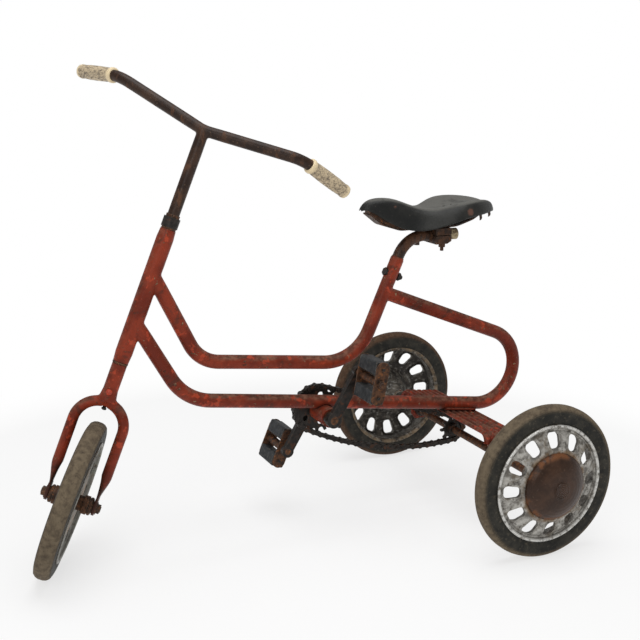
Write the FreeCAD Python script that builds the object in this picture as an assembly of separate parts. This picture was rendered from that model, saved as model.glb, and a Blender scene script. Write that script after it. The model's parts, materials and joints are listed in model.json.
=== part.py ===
import math
import os

import FreeCAD
import Part

V = FreeCAD.Vector
X, Y, Z = V(1, 0, 0), V(0, 1, 0), V(0, 0, 1)
ORIGIN = V(0, 0, 0)

# ---------------------------------------------------------------- driving dimensions (mm)
# The origin is on the ground under the middle of the rear axle: +X forward, +Y left, +Z up.

# Wheels: pressed steel discs with solid rubber tyres, all three the same size.
WHEEL_R = 110.0
TYRE_HALF = 12.3
RIM_R = 84.8
RIM_SEAT_R = 80.0
DISC_T = 1.4
TRACK = 443.6
HOLES = 12
HOLE_IN_R, HOLE_OUT_R = 53.5, 75.0
HOLE_IN_W, HOLE_OUT_W = 14.0, 20.0
HOLE_CORNER = 6.0
FLANGE_T, FLANGE_DEEP = 1.2, 4.5
HUB_R = 9.0
CAP_R = 47.8
OUTER_FACE_Y = 22.6
HUB_IN_Y, HUB_OUT_Y = -34.0, 25.5
DRIVE_PIN_Y, DRIVE_PIN_R = -30.5, 1.6

# Frame: bent steel tube. The long runs rise a little towards the front.
TUBE_R = 10.0
TUBE_WALL = 1.4
LOWER_Z0, LOWER_RISE = 158.8, 0.1422
UPPER_Z0, UPPER_RISE = 222.9, 0.1227
HEAD_LEAN = 22.45
SEAT_LEAN = 24.0
SEAT_FOOT = V(161.8, 0, 291.3)
SEAT_TOP_Z = 394.5
UPPER_FRONT_LEAN = 25.9
LOWER_FRONT_LEAN = 29.4
UPPER_FRONT_BEND = 52.0
LOWER_FRONT_BEND = 76.0
SEAT_BEND = 70.0
LOOP_R = 58.3
LOOP_X = -36.6
LEG_RISE = 0.4086

# Steering column, measured along the steering axis from the front axle.
FRONT_X = 607.9
STEER = 67.0
HEAD_R, HEAD_WALL = 11.6, 1.2
HEAD_LOW, HEAD_TOP = 198.0, 386.0
HEAD_END_R = 10.4
STEERER_R, STEERER_BORE = 9.3, 8.15
STEM_R = 8.1
STEM_LOW = 318.0
COLLAR_LOW, COLLAR_TOP = 388.0, 402.0
STEERER_TOP = 406.0
SLEEVE_R = 10.1
RUN = 0.05

# Fork: one tube bent over the wheel, its ends flattened for the axle.
BLADE_U = 34.3
BLADE_R = 7.3
CROWN_H = 141.0
BLADE_END_H = 46.0
DROPOUT_T, DROPOUT_R = 4.0, 10.6
DROPOUT_IN = BLADE_U - 3.3
FRONT_AXLE_R = 4.0
FRONT_HUB_R, FRONT_HUB_HALF = 10.5, 16.5
CONE_R = 12.8

# Handlebar: a bent tube on its stem, clamped a few degrees off line and a little out of square.
BAR_H = 523.2
BAR_BEND = V(-12.9, 134.6, 19.6)
BAR_END = V(-65.4, 199.1, 7.4)
BAR_YAW = -6.6
BAR_ROLL = -4.4
BAR_R = 7.7
BAR_BEND_R = 52.0
BAR_MIDDLE_R = 45.0
GRIP_R = 10.0
GRIP_LENGTH = 75.0

# Seat.
POST_R = 8.5
POST_BEND = 46.0
POST_LEVEL = 427.0
POST_END_X = 17.5
POST_BOLT_Z = 373.0
POST_BOLT_R = 3.0

# Saddle clamp, under the strap that carries the saddle.
STRAP_Z = 437.4
CLAMP_X0, CLAMP_X1 = 36.0, 62.0
CLAMP_W = 38.0
JAW_LOW = 12.5
JAW_BEVEL_X, JAW_BEVEL_Z = 7.0, 3.6
CLAMP_BOLT_R = 2.6
COVER_T = 2.8

# Drive: half-inch pitch chain on a 17 tooth ring and a 9 tooth sprocket.
PITCH = 12.7
RING_TEETH, COG_TEETH = 17, 9
CHAIN_Y = -22.0
CHAIN_LINKS = 52
BB = V(236.4, 0, 175.4)
BB_R, BB_BORE = 14.0, 11.5
BB_RIGHT, BB_LEFT = -14.5, 29.5
BUSH_LENGTH = 10.0
SPINDLE_R = 6.0
CRANK = 78.0
CRANK_ANGLE = 120.5
ARM_Y_LEFT, ARM_Y_RIGHT = 38.0, 39.5
ARM_T = 8.0
ARM_BOSS_R, ARM_EYE_R = 11.5, 9.0
ARM_HALF_BOSS, ARM_HALF_EYE = 8.5, 7.0
COTTER_R, COTTER_HALF, COTTER_IN = 2.6, 14.5, 4.6
PEDAL_THREAD_R = 4.6
AXLE_R = 5.8
COG_BOSS_R, COG_BOSS_LENGTH = 9.6, 10.0
TOOTH_T = 3.2
ROOT_R, RING_MOUTH, COG_MOUTH = 4.22, 5.3, 7.4

# Pedals.
PEDAL_IN, PEDAL_OUT = 52.0, 104.0
PEDAL_H = 62.0
PEDAL_W = 20.0
PEDAL_TILT_LEFT = 10.5
PEDAL_TILT_RIGHT = 23.0
PLATE_T = 2.0
BLOCK_H, BLOCK_W = 19.0, 21.0
BLOCK_GAP = 20.5
BLOCK_END, BLOCK_ROUND = 0.5, 3.0
PEDAL_PIN_R, PEDAL_ROD_R = 4.0, 2.2

# Rear carriage: a ribbed plate across the frame with its ends bent down to the axle.
CARRIAGE_X0, CARRIAGE_X1 = -27.0, 34.0
CARRIAGE_Y = 127.0
CARRIAGE_BEND = 12.0
CARRIAGE_T = 1.6
CHEEK_T = 2.5
RIBS = 6
RIB_RISE = 2.6
AXLE_BUSH_R = 8.8

os.makedirs("parts", exist_ok=True)
EXPORTED = []


def export(name, shape):
    """Write one node, after checking that every solid in it is sound."""
    assert shape.Solids and all(s.isValid() and s.Volume > 0 for s in shape.Solids), name
    shape.exportStep("parts/" + name + ".step")
    EXPORTED.append((name, len(shape.Solids), round(shape.Volume / 1000, 2)))


# ---------------------------------------------------------------- shape helpers
def rod(start, end, radius):
    return Part.makeCylinder(radius, (end - start).Length, start, end - start)


def ring(start, end, radius, bore):
    return rod(start, end, radius).cut(rod(start, end, bore))


def hexagon(start, end, flats):
    """A hexagonal bar from start to end, across the given flats."""
    axis = end - start
    radius = flats / math.sqrt(3)
    points = [V(radius * math.cos(a), radius * math.sin(a), 0)
              for a in (k * math.pi / 3 for k in range(7))]
    bar = Part.Face(Part.makePolygon(points)).extrude(V(0, 0, axis.Length))
    bar.Placement = FreeCAD.Placement(start, FreeCAD.Rotation(Z, axis))
    return bar


def nut(start, end, flats, bore):
    return hexagon(start, end, flats).cut(rod(start, end, bore))


def turned(profile):
    """Revolve a closed list of (radius, y) points about the Y axis."""
    points = [V(r, y, 0) for r, y in profile]
    face = Part.Face(Part.makePolygon(points + points[:1]))
    return face.revolve(ORIGIN, Y, 360)


def rounded(points, radii):
    """A wire through the points, with an arc of the given radius at each inner point."""
    edges = []
    here = points[0]
    for before, corner, after, radius in zip(points, points[1:], points[2:], radii):
        back = (before - corner).normalize()
        ahead = (after - corner).normalize()
        half = math.acos(max(-1.0, min(1.0, back.dot(ahead)))) / 2
        reach = radius / math.tan(half)
        middle = (back + ahead).normalize()
        top = corner + middle * (radius / math.sin(half) - radius)
        first, last = corner + back * reach, corner + ahead * reach
        edges.append(Part.LineSegment(here, first).toShape())
        edges.append(Part.Arc(first, top, last).toShape())
        here = last
    edges.append(Part.LineSegment(here, points[-1]).toShape())
    return Part.Wire(edges)


def bent(points, radii, radius):
    """A solid round bar along a rounded path."""
    path = rounded(points, radii)
    circle = Part.Wire([Part.makeCircle(radius, points[0], points[1] - points[0])])
    return path.makePipeShell([circle], True, False)


def plate(points, thickness_from, thickness_to):
    """A flat plate in the XZ plane between two Y values."""
    corners = [V(x, thickness_from, z) for x, z in points]
    face = Part.Face(Part.makePolygon(corners + corners[:1]))
    return face.extrude(V(0, thickness_to - thickness_from, 0))


def turn_about(shape, centre, axis, degrees):
    shape = shape.copy()
    shape.rotate(centre, axis, degrees)
    return shape


def group(shapes):
    return Part.makeCompound(shapes)


def both_sides(piece):
    """The same piece on the left and, turned half a turn about Z, on the right."""
    return group([piece, turn_about(piece, ORIGIN, Z, 180)])


def largest(shape):
    """The biggest solid of a shape, without any slivers that a cut left behind."""
    return max(shape.Solids, key=lambda solid: solid.Volume)


# ---------------------------------------------------------------- frame lines
def on_lower(x):
    return V(x, 0, LOWER_Z0 + LOWER_RISE * x)


def on_upper(x):
    return V(x, 0, UPPER_Z0 + UPPER_RISE * x)


def meet(p, d, q, e):
    """Where two lines in the XZ plane cross."""
    cross = d.x * e.z - d.z * e.x
    t = ((q.x - p.x) * e.z - (q.z - p.z) * e.x) / cross
    return p + d * t


def leaning(degrees, towards):
    """A unit direction leaning from upright towards +X or -X."""
    a = math.radians(degrees)
    return V(towards * math.sin(a), 0, math.cos(a))


AXIS = leaning(HEAD_LEAN, -1)
SEAT_AXIS = leaning(SEAT_LEAN, -1)
LOWER_DIR = V(1, 0, LOWER_RISE).normalize()
UPPER_DIR = V(1, 0, UPPER_RISE).normalize()
LEG_DIR = V(1, 0, LEG_RISE).normalize()


def tyre_profile():
    """Right half of the tyre's outline, (radius, y), from the rim out to the tread's middle."""
    return [(RIM_R, 10.9), (92.0, TYRE_HALF), (101.0, TYRE_HALF), (106.0, 10.6),
            (108.8, 7.2), (WHEEL_R, 3.0)]


def front_height():
    """Height of the front axle, so that the turned and leaning wheel just meets the ground."""
    slope = abs(math.sin(math.radians(HEAD_LEAN)) * math.sin(math.radians(STEER)))
    upright = math.sqrt(1 - slope * slope)
    return max(r * upright + y * slope for r, y in tyre_profile())


FRONT = V(FRONT_X, 0, front_height())


def steered(shape):
    """Place a piece that is drawn straight ahead, with Z up the steering axis, at the front axle."""
    shape = shape.copy()
    lean = FreeCAD.Placement(ORIGIN, FreeCAD.Rotation(Y, -HEAD_LEAN))
    turn = FreeCAD.Placement(ORIGIN, FreeCAD.Rotation(Z, STEER))
    shape.Placement = FreeCAD.Placement(FRONT, FreeCAD.Rotation()) * lean * turn * shape.Placement
    return shape


def on_axis(h):
    return FRONT + AXIS * h


# ---------------------------------------------------------------- frame
def head_outline():
    """Head tube outline (radius, h), narrowed at both ends."""
    swage = 13.0
    return [(HEAD_END_R, HEAD_LOW), (HEAD_R, HEAD_LOW + swage),
            (HEAD_R, HEAD_TOP - swage), (HEAD_END_R, HEAD_TOP)]


def along_column(outline):
    """Revolve an outline of (radius, h) about the steering axis."""
    points = [V(r, 0, h) for r, h in outline]
    solid = Part.Face(Part.makePolygon(points + points[:1])).revolve(ORIGIN, Z, 360)
    return steered(solid)


def head_solid():
    return along_column([(0, HEAD_LOW)] + head_outline() + [(0, HEAD_TOP)])


def head_tube():
    bore, inside = STEERER_R + RUN, HEAD_R - HEAD_WALL
    bearing, step = 12.0, 2.0
    inner = [(bore, HEAD_TOP), (bore, HEAD_TOP - bearing), (inside, HEAD_TOP - bearing - step),
             (inside, HEAD_LOW + bearing + step), (bore, HEAD_LOW + bearing), (bore, HEAD_LOW)]
    return along_column(head_outline() + inner)


def upper_path():
    """Head tube, down, back along the top, then up as the seat tube."""
    front = V(466.9, 0, 365.4)
    front_dir = leaning(UPPER_FRONT_LEAN, 1)
    low_front = meet(front, front_dir, on_upper(0), UPPER_DIR)
    low_back = meet(SEAT_FOOT, SEAT_AXIS, on_upper(0), UPPER_DIR)
    start = meet(front, front_dir, on_axis(0), AXIS)
    top = SEAT_FOOT + SEAT_AXIS * ((SEAT_TOP_Z - SEAT_FOOT.z) / SEAT_AXIS.z)
    return [start, low_front, low_back, top]


def lower_path():
    """Head tube, down, back along the bottom, round the loop and up to the seat tube."""
    front = V(487.9, 0, 298.6)
    front_dir = leaning(LOWER_FRONT_LEAN, 1)
    low_front = meet(front, front_dir, on_lower(0), LOWER_DIR)
    start = meet(front, front_dir, on_axis(0), AXIS)
    normal = V(-LOWER_DIR.z, 0, LOWER_DIR.x)
    centre = on_lower(LOOP_X) + normal * LOOP_R
    centre = centre + LOWER_DIR * ((LOOP_X - centre.x) / LOWER_DIR.x)
    loop_start = centre - normal * LOOP_R
    leg_foot = centre + V(-LEG_DIR.z, 0, LEG_DIR.x) * LOOP_R
    leg_top = meet(leg_foot, LEG_DIR, SEAT_FOOT, SEAT_AXIS)
    return start, low_front, loop_start, centre, leg_foot, leg_top


def lower_bar(radius):
    """The lower tube's path with a real half loop at the back."""
    start, low_front, loop_start, centre, leg_foot, leg_top = lower_path()
    rear = centre + (leg_foot + loop_start - centre * 2).normalize() * LOOP_R
    front_part = rounded([start, low_front, loop_start], [LOWER_FRONT_BEND])
    loop = Part.Arc(loop_start, rear, leg_foot).toShape()
    leg = Part.LineSegment(leg_foot, leg_top).toShape()
    path = Part.Wire(front_part.Edges + [loop, leg])
    circle = Part.Wire([Part.makeCircle(radius, start, low_front - start)])
    return path.makePipeShell([circle], True, False)


def upper_bar(radius):
    return bent(upper_path(), [UPPER_FRONT_BEND, SEAT_BEND], radius)


def make_frame():
    head = head_solid()
    right, left = BB + Y * BB_RIGHT, BB + Y * BB_LEFT
    rear, front, _ = post_bolt_line()
    upper = upper_bar(TUBE_R).cut(head).cut(upper_bar(TUBE_R - TUBE_WALL))
    upper = upper.cut(rod(rear, front, POST_BOLT_R)).cut(seat_slot())
    lower = lower_bar(TUBE_R).cut(lower_bar(TUBE_R - TUBE_WALL))
    lower = lower.cut(head).cut(upper_bar(TUBE_R)).cut(rod(right, left, BB_R))
    export("head_tube", head_tube())
    export("upper_tube", largest(upper))
    export("lower_tube", largest(lower))
    export("bottom_bracket_shell", ring(right, left, BB_R, BB_BORE))
    bush = ring(right, right + Y * BUSH_LENGTH, BB_BORE, SPINDLE_R + RUN)
    left_bush = bush.translated(Y * (BB_LEFT - BB_RIGHT - BUSH_LENGTH))
    export("bottom_bracket_bushes", group([bush, left_bush]))


# ---------------------------------------------------------------- rear carriage
def carriage_edges():
    """The ribbed deck's upper and lower edges in XZ, under the lower tube."""
    length = CARRIAGE_X1 - CARRIAGE_X0
    steps = RIBS * 4
    upper_edge = []
    lower_edge = []
    for k in range(steps + 1):
        x = CARRIAGE_X0 + length * k / steps
        raised = k % 4 in (1, 2)
        z = on_lower(x).z - TUBE_R - 0.6 - (0 if raised else RIB_RISE)
        upper_edge.append((x, z))
        lower_edge.append((x, z - CARRIAGE_T))
    return upper_edge, lower_edge


def carriage_deck():
    """The deck between its bends, and the left bend, which turns the same section down."""
    upper_edge, lower_edge = carriage_edges()
    corners = [V(x, 0, z) for x, z in upper_edge + lower_edge[::-1]]
    section = Part.Face(Part.makePolygon(corners + corners[:1]))
    flat_y = CARRIAGE_Y - CARRIAGE_BEND - RIB_RISE - CARRIAGE_T
    flat = section.extrude(Y * (2 * flat_y)).translated(Y * -flat_y)
    pivot = on_lower(0) + V(0, flat_y, -TUBE_R - 0.6 - RIB_RISE - CARRIAGE_T - CARRIAGE_BEND)
    bend = section.translated(Y * flat_y).revolve(pivot, LOWER_DIR, -90)
    return flat, bend, pivot.z


def across_axle(y0, y1, radius):
    """A round bar on the rear axle's line between two Y values."""
    return rod(V(0, y0, WHEEL_R), V(0, y1, WHEEL_R), radius)


def make_carriage():
    flat, bend, bend_z = carriage_deck()
    half, low = 15.0, WHEEL_R - 14.0
    inset, rise = 3.0, LOWER_RISE * CARRIAGE_X1
    outline = [(CARRIAGE_X0 + inset, bend_z - 4), (-half, WHEEL_R + 6), (-half, WHEEL_R - 5),
               (-half + 7, low), (half - 7, low), (half, WHEEL_R - 5), (half, WHEEL_R + 6),
               (CARRIAGE_X1 - inset, bend_z + rise - 2), (CARRIAGE_X1 - inset, bend_z + rise + 2),
               (CARRIAGE_X0 + inset, bend_z - rise + 1)]
    cheek = plate(outline, CARRIAGE_Y - CHEEK_T - 0.5, CARRIAGE_Y - 0.5)
    cheek = cheek.fuse(bend).removeSplitter().cut(across_axle(CARRIAGE_Y - 19, CARRIAGE_Y + 11, AXLE_BUSH_R))
    carriage = flat.cut(lower_bar(TUBE_R)).fuse([cheek, cheek.mirror(ORIGIN, Y)]).removeSplitter()
    export("rear_carriage", carriage)
    bush = across_axle(CARRIAGE_Y - 10, CARRIAGE_Y + 12, AXLE_BUSH_R)
    collar = across_axle(CARRIAGE_Y - 0.4, CARRIAGE_Y + 2.6, AXLE_BUSH_R + 4)
    bush = bush.fuse(collar).removeSplitter().cut(across_axle(0, TRACK, AXLE_R + RUN))
    export("axle_bushes", group([bush, bush.mirror(ORIGIN, Y)]))
    export("carriage_welds", carriage_welds(carriage))


def carriage_welds(carriage):
    """Two beads that join the carriage to the lower tube, one along each side of it."""
    end_gap, bead_r = 4.0, 2.6
    beads = []
    for side in (-1, 1):
        beside = V(0, side * 6.4, 1.6 - TUBE_R)
        start, end = on_lower(CARRIAGE_X0 + end_gap), on_lower(CARRIAGE_X1 - end_gap)
        bead = rod(start + beside, end + beside, bead_r)
        beads.append(largest(bead.cut(lower_bar(TUBE_R)).cut(carriage)))
    return group(beads)


# ---------------------------------------------------------------- wheels
def hole_cutter(y0, y1, grow=0.0):
    """One rounded, outward-widening hole, on the +X side of a disc."""
    inside, outside = HOLE_IN_W / 2 + grow, HOLE_OUT_W / 2 + grow
    near, far = HOLE_IN_R - grow, HOLE_OUT_R + grow
    prism = plate([(near, -inside), (far, -outside), (far, outside), (near, inside)], y0, y1)
    edges = [e for e in prism.Edges if abs(e.tangentAt(e.FirstParameter).y) > 0.99]
    return prism.makeFillet(HOLE_CORNER + grow / 2, edges)


def round_the_wheel(shape):
    return [turn_about(shape, ORIGIN, Y, k * 360 / HOLES) for k in range(HOLES)]


def pressed_disc(face, hub_r):
    """A rim channel and a disc pressed in one, facing +Y, its holes flanged inwards.

    face is the disc's outer face as (radius, y) points, from the rim's groove in to the hub."""
    lip = [(RIM_R, 10.9), (RIM_R, 12.9), (83.6, 14.1), (81.8, 14.2), (80.2, 13.0), (79.0, 10.6)]
    back = [(r, y - DISC_T) for r, y in face[::-1]]
    channel_r = RIM_SEAT_R - DISC_T
    channel = [(channel_r, face[0][1] - 2.2), (channel_r, -7.7), (79.4, -9.4), (83.6, -12.3),
               (85.2, -12.0), (RIM_R, -10.9), (RIM_SEAT_R, -8.5), (RIM_SEAT_R, 8.5)]
    shell = turned(lip + face + back + channel)
    deep = [(r, y - FLANGE_DEEP) for r, y in face[::-1]]
    thick = turned(face + deep)
    low, high = face[0][1] - 12, face[-1][1] + 12
    sleeve = hole_cutter(low, high, FLANGE_T).cut(hole_cutter(low, high))
    flanges = round_the_wheel(sleeve.common(thick))
    disc = shell.cut(round_the_wheel(hole_cutter(low, high))).fuse(flanges).removeSplitter()
    return disc.cut(rod(Y * low, Y * high, hub_r))


def tyre():
    half = tyre_profile()
    seat = [(RIM_SEAT_R, 0), (RIM_SEAT_R, 8.5)]
    right = seat[1:] + half
    left = [(r, -y) for r, y in right[::-1]]
    return turned(right + left)


def hub_cap():
    """A deep dome with a raised button; its rim rests on the outer disc."""
    foot, rise, thick = OUTER_FACE_Y, 17.6, 1.0
    flat_r, steps = 13.5, 8
    outer = []
    inner = []
    for k in range(steps + 1):
        a = k * math.pi / (2 * steps)
        swell = math.sin(a) * (0.82 + 0.18 * k / steps)
        outer.append((flat_r + (CAP_R - flat_r) * math.cos(a), foot + rise * swell))
        inner.append((flat_r + (CAP_R - thick - flat_r) * math.cos(a), foot + (rise - thick) * swell))
    button = [(12.0, foot + rise + 0.4), (10.5, foot + rise + 1.6), (0, foot + rise + 2.2)]
    return turned(outer + button + [(0, foot + rise - thick)] + inner[::-1])


def hub_with_cone(bore):
    """The hub tube with its collar and the cone that braces the disc from inside."""
    cone_y, foot_y = HUB_IN_Y + 7.0, OUTER_FACE_Y - DISC_T
    return turned([(bore, HUB_IN_Y), (HUB_R + 4.5, HUB_IN_Y), (HUB_R + 4.5, cone_y),
                   (39.0, foot_y - 3.0), (41.5, foot_y - 1.3), (CAP_R - 1.5, foot_y - 1.3),
                   (CAP_R - 1.5, foot_y - 0.05), (40.8, foot_y - 0.05), (38.0, foot_y - 2.0),
                   (HUB_R + 3.2, cone_y + 1.2), (HUB_R, cone_y + 1.2), (HUB_R, HUB_OUT_Y),
                   (bore, HUB_OUT_Y)])


def make_rear_wheel(side, name, driven):
    """side is +1 for left and -1 for right; drawn facing +Y and turned for the right."""
    def place(shape):
        shape = shape if side > 0 else turn_about(shape, ORIGIN, Z, 180)
        return shape.translated(V(0, side * TRACK / 2, WHEEL_R))

    hub = hub_with_cone(AXLE_R if driven else AXLE_R + RUN)
    if driven:
        hub = hub.cut(rod(V(0, DRIVE_PIN_Y, -20), V(0, DRIVE_PIN_Y, 20), DRIVE_PIN_R))
    face = [(77.0, 10.2), (74.5, 12.0), (68.0, 16.2), (58.0, 20.3), (50.0, OUTER_FACE_Y),
            (HUB_R - 1, OUTER_FACE_Y)]
    export(name + "_tyre", place(tyre()))
    export(name + "_disc", place(pressed_disc(face, HUB_R)))
    export(name + "_hub", place(hub))
    export(name + "_hub_cap", place(hub_cap()))


def sprocket_pin():
    """The pin that keys the rear sprocket's boss to the axle."""
    middle = V(0, CHAIN_Y + COG_BOSS_LENGTH * 0.65, WHEEL_R)
    return rod(middle - Z * COG_BOSS_R, middle + Z * COG_BOSS_R, 1.5)


def make_rear_axle():
    """The axle turns with the right wheel and the sprocket; the left wheel runs free on it."""
    middle = TRACK / 2
    end = middle + 29.0
    drive_y, split_y = -(middle + DRIVE_PIN_Y), end - 2.2
    hub_in, hub_out = middle + HUB_IN_Y, middle + HUB_OUT_Y
    keeper_r, split_r, gap = AXLE_R + 3.7, 1.0, 0.1
    through, split_reach = HUB_R + 6.0, keeper_r - 0.5
    drive_pin = rod(V(0, drive_y, WHEEL_R - through), V(0, drive_y, WHEEL_R + through), DRIVE_PIN_R)
    split_pin = rod(V(0, split_y, WHEEL_R - split_reach), V(0, split_y, WHEEL_R + split_reach), split_r)
    axle = across_axle(-end, end, AXLE_R)
    washer = across_axle(hub_out + gap, split_y - split_r, keeper_r).cut(axle)
    stop = across_axle(hub_in - 6.0, hub_in - gap, keeper_r).cut(axle)
    export("rear_axle", axle.cut([drive_pin, split_pin, sprocket_pin()]))
    export("axle_pins", group([drive_pin, sprocket_pin()]))
    export("free_wheel_keeper", group([split_pin, washer, stop]))


def front_cone(inner, outer):
    """The drum beside the front hub, grooved round its middle, between two distances from the hub."""
    groove = inner + (outer - inner) * 0.62
    bore, neck = FRONT_AXLE_R, CONE_R - 1.6
    return turned([(bore, inner), (CONE_R - 0.4, inner), (CONE_R, inner + 1.0), (CONE_R, groove - 0.8),
                   (neck, groove - 0.4), (neck, groove + 0.4), (CONE_R - 0.5, groove + 0.8),
                   (CONE_R - 0.5, outer - 1.4), (neck - 0.8, outer), (bore, outer)])


def make_front_wheel():
    face = [(77.0, 9.6), (72.0, 8.6), (48.0, 8.6), (44.0, 9.8), (24.0, 9.8), (FRONT_HUB_R - 1, 9.8)]
    hub = ring(Y * -FRONT_HUB_HALF, Y * FRONT_HUB_HALF, FRONT_HUB_R, FRONT_AXLE_R + RUN)
    fork_in, fork_out = DROPOUT_IN, DROPOUT_IN + DROPOUT_T
    washer_t, nut_t, end = 1.2, 4.5, fork_out + 6.5
    cone = front_cone(FRONT_HUB_HALF + 0.1, fork_in - washer_t)
    washer_r, nut_from = 8.5, fork_out + washer_t
    inner_washer = ring(Y * (fork_in - washer_t), Y * fork_in, washer_r, FRONT_AXLE_R)
    washer = ring(Y * fork_out, Y * nut_from, washer_r, FRONT_AXLE_R)
    axle_nut = nut(Y * nut_from, Y * (nut_from + nut_t), 11.5, FRONT_AXLE_R)
    export("front_tyre", steered(tyre()))
    export("front_disc", steered(pressed_disc(face, FRONT_HUB_R)))
    export("front_hub", steered(hub))
    export("front_axle", steered(rod(Y * -end, Y * end, FRONT_AXLE_R)))
    export("front_axle_cones", steered(both_sides(cone)))
    export("front_axle_washers", steered(group([both_sides(inner_washer), both_sides(washer)])))
    export("front_axle_nuts", steered(both_sides(axle_nut)))


# ---------------------------------------------------------------- fork and steering
def fork_arch():
    """The round part of the fork: up one blade, over the wheel and down the other."""
    arch_h = CROWN_H - BLADE_U
    foot, shoulder = V(0, -BLADE_U, BLADE_END_H), V(0, -BLADE_U, arch_h)
    lines = [Part.LineSegment(foot, shoulder).toShape(),
             Part.Arc(shoulder, V(0, 0, CROWN_H), V(0, BLADE_U, arch_h)).toShape(),
             Part.LineSegment(V(0, BLADE_U, arch_h), V(0, BLADE_U, BLADE_END_H)).toShape()]
    circle = Part.Wire([Part.makeCircle(BLADE_R, foot, Z)])
    return Part.Wire(lines).makePipeShell([circle], True, False)


def blade_end():
    """The left blade's flattened end: a round section drawn out into a flat with the axle hole."""
    inner, outer, flat_top = DROPOUT_IN, DROPOUT_IN + DROPOUT_T, 14.0
    middle = (inner + outer) / 2
    sections = [Part.Wire([Part.makeCircle(BLADE_R, V(0, BLADE_U, BLADE_END_H), Z)])]
    for h, half_thick, half_wide in ((34.0, 5.2, 8.6), (22.0, 3.0, 10.0),
                                     (flat_top, DROPOUT_T / 2, DROPOUT_R)):
        towards_blade = (half_thick - DROPOUT_T / 2) * 0.45
        oval = Part.Ellipse(V(0, middle + towards_blade, h), half_wide, half_thick).toShape()
        sections.append(Part.Wire([oval]))
    flat = rod(Y * inner, Y * outer, DROPOUT_R)
    web = plate([(-DROPOUT_R, 0), (DROPOUT_R, 0), (DROPOUT_R, flat_top), (-DROPOUT_R, flat_top)],
                inner, outer)
    return Part.makeLoft(sections, True).fuse([flat, web]).cut(rod(Y * inner, Y * outer, FRONT_AXLE_R))


def crown_bolt(crown, hole_r, top):
    """The bolt up through the crown; its head sits on the arch's underside."""
    head = CROWN_H - BLADE_R - 5
    bolt = rod(Z * head, Z * top, hole_r).fuse(hexagon(Z * head, Z * (head + 4.6), 11))
    return bolt.removeSplitter().cut(crown)


def make_fork():
    end, arch = blade_end(), fork_arch()
    hole_r, steerer_foot, washer_t = 4.0, CROWN_H + 9, 2.0
    bolt_hole = rod(Z * (CROWN_H - 2 * BLADE_R), Z * steerer_foot, hole_r)
    fork = arch.fuse([end, turn_about(end, ORIGIN, Z, 180)]).removeSplitter().cut(bolt_hole)
    steerer = ring(Z * steerer_foot, Z * STEERER_TOP, STEERER_R, STEERER_BORE)
    slit = Part.makeBox(2 * STEERER_R, 1.6, 30, V(0, -0.8, STEERER_TOP - 22))
    sleeve = rod(Z * CROWN_H, Z * (HEAD_LOW - washer_t), SLEEVE_R)
    bell = Part.makeCone(SLEEVE_R + 2.5, SLEEVE_R, 16, Z * (CROWN_H + 2), Z)
    sleeve = sleeve.fuse(bell).cut([arch, rod(Z * steerer_foot, Z * STEERER_TOP, STEERER_R), bolt_hole])
    low_washer = ring(Z * (HEAD_LOW - washer_t), Z * (HEAD_LOW - RUN), SLEEVE_R + 0.5, STEERER_R)
    top_washer = ring(Z * (HEAD_TOP + RUN), Z * COLLAR_LOW, SLEEVE_R - 0.2, STEERER_R)
    export("fork", steered(fork))
    export("crown_sleeve", steered(largest(sleeve)))
    export("steerer_tube", steered(steerer.cut(slit)))
    export("crown_bolt", steered(crown_bolt(fork, hole_r, steerer_foot)))
    export("head_washers", steered(group([low_washer, top_washer])))


def make_collar():
    """The split clamp round the top of the steerer, with ears for its pinch bolt."""
    low, high, middle = Z * COLLAR_LOW, Z * COLLAR_TOP, (COLLAR_LOW + COLLAR_TOP) / 2
    bolt_x, bolt_r, flats, head_t = STEERER_R + 7.2, 2.5, 8.5, 4.0
    ear_reach, ear_half, split = bolt_x + 4.5, 4.5, 2.2
    tall = COLLAR_TOP - COLLAR_LOW

    def on_bolt(y):
        return V(bolt_x, y, middle)

    ears = Part.makeBox(ear_reach, 2 * ear_half, tall, V(0, -ear_half, COLLAR_LOW))
    gap = Part.makeBox(ear_reach, split, tall, V(0, -split / 2, COLLAR_LOW))
    shank = rod(on_bolt(-ear_half - head_t), on_bolt(ear_half + head_t + 3), bolt_r)
    collar = rod(low, high, STEERER_R + 2.0).fuse(ears).cut([rod(low, high, STEERER_R), gap, shank])
    head = hexagon(on_bolt(-ear_half - head_t), on_bolt(-ear_half), flats)
    pinch_nut = nut(on_bolt(ear_half), on_bolt(ear_half + head_t), flats, bolt_r)
    bolt = group([shank.fuse(head).removeSplitter(), pinch_nut])
    ears_turn = -115 - STEER
    export("stem_collar", steered(turn_about(collar.removeSplitter(), ORIGIN, Z, ears_turn)))
    export("collar_bolt", steered(turn_about(bolt, ORIGIN, Z, ears_turn)))


def bar_place(shape):
    """From the bar's own frame, at the top of the stem, to the steered frame."""
    shape = turn_about(shape, ORIGIN, X, BAR_ROLL)
    shape = turn_about(shape, ORIGIN, Z, BAR_YAW)
    return shape.translated(V(0, 0, BAR_H))


def make_handlebar():
    right_bend, right_end = [V(p.x, -p.y, p.z) for p in (BAR_BEND, BAR_END)]
    bar = bent([right_end, right_bend, ORIGIN, BAR_BEND, BAR_END],
               [BAR_BEND_R, BAR_MIDDLE_R, BAR_BEND_R], BAR_R)
    stem = rod(Z * STEM_LOW, Z * BAR_H, STEM_R)
    export("handlebar", steered(bar_place(bar).fuse(stem).removeSplitter()))
    cap_t = 2.5
    for name, last, before in (("left_grip", BAR_END, BAR_BEND), ("right_grip", right_end, right_bend)):
        inward = (before - last).normalize()
        grip = rod(last - inward * cap_t, last + inward * (GRIP_LENGTH - cap_t), GRIP_R)
        rim = [e for e in grip.Edges if abs(e.Length - 2 * math.pi * GRIP_R) < 0.1]
        grip = grip.makeFillet(2.0, rim).cut(bar)
        export(name, steered(bar_place(largest(grip))))


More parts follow.
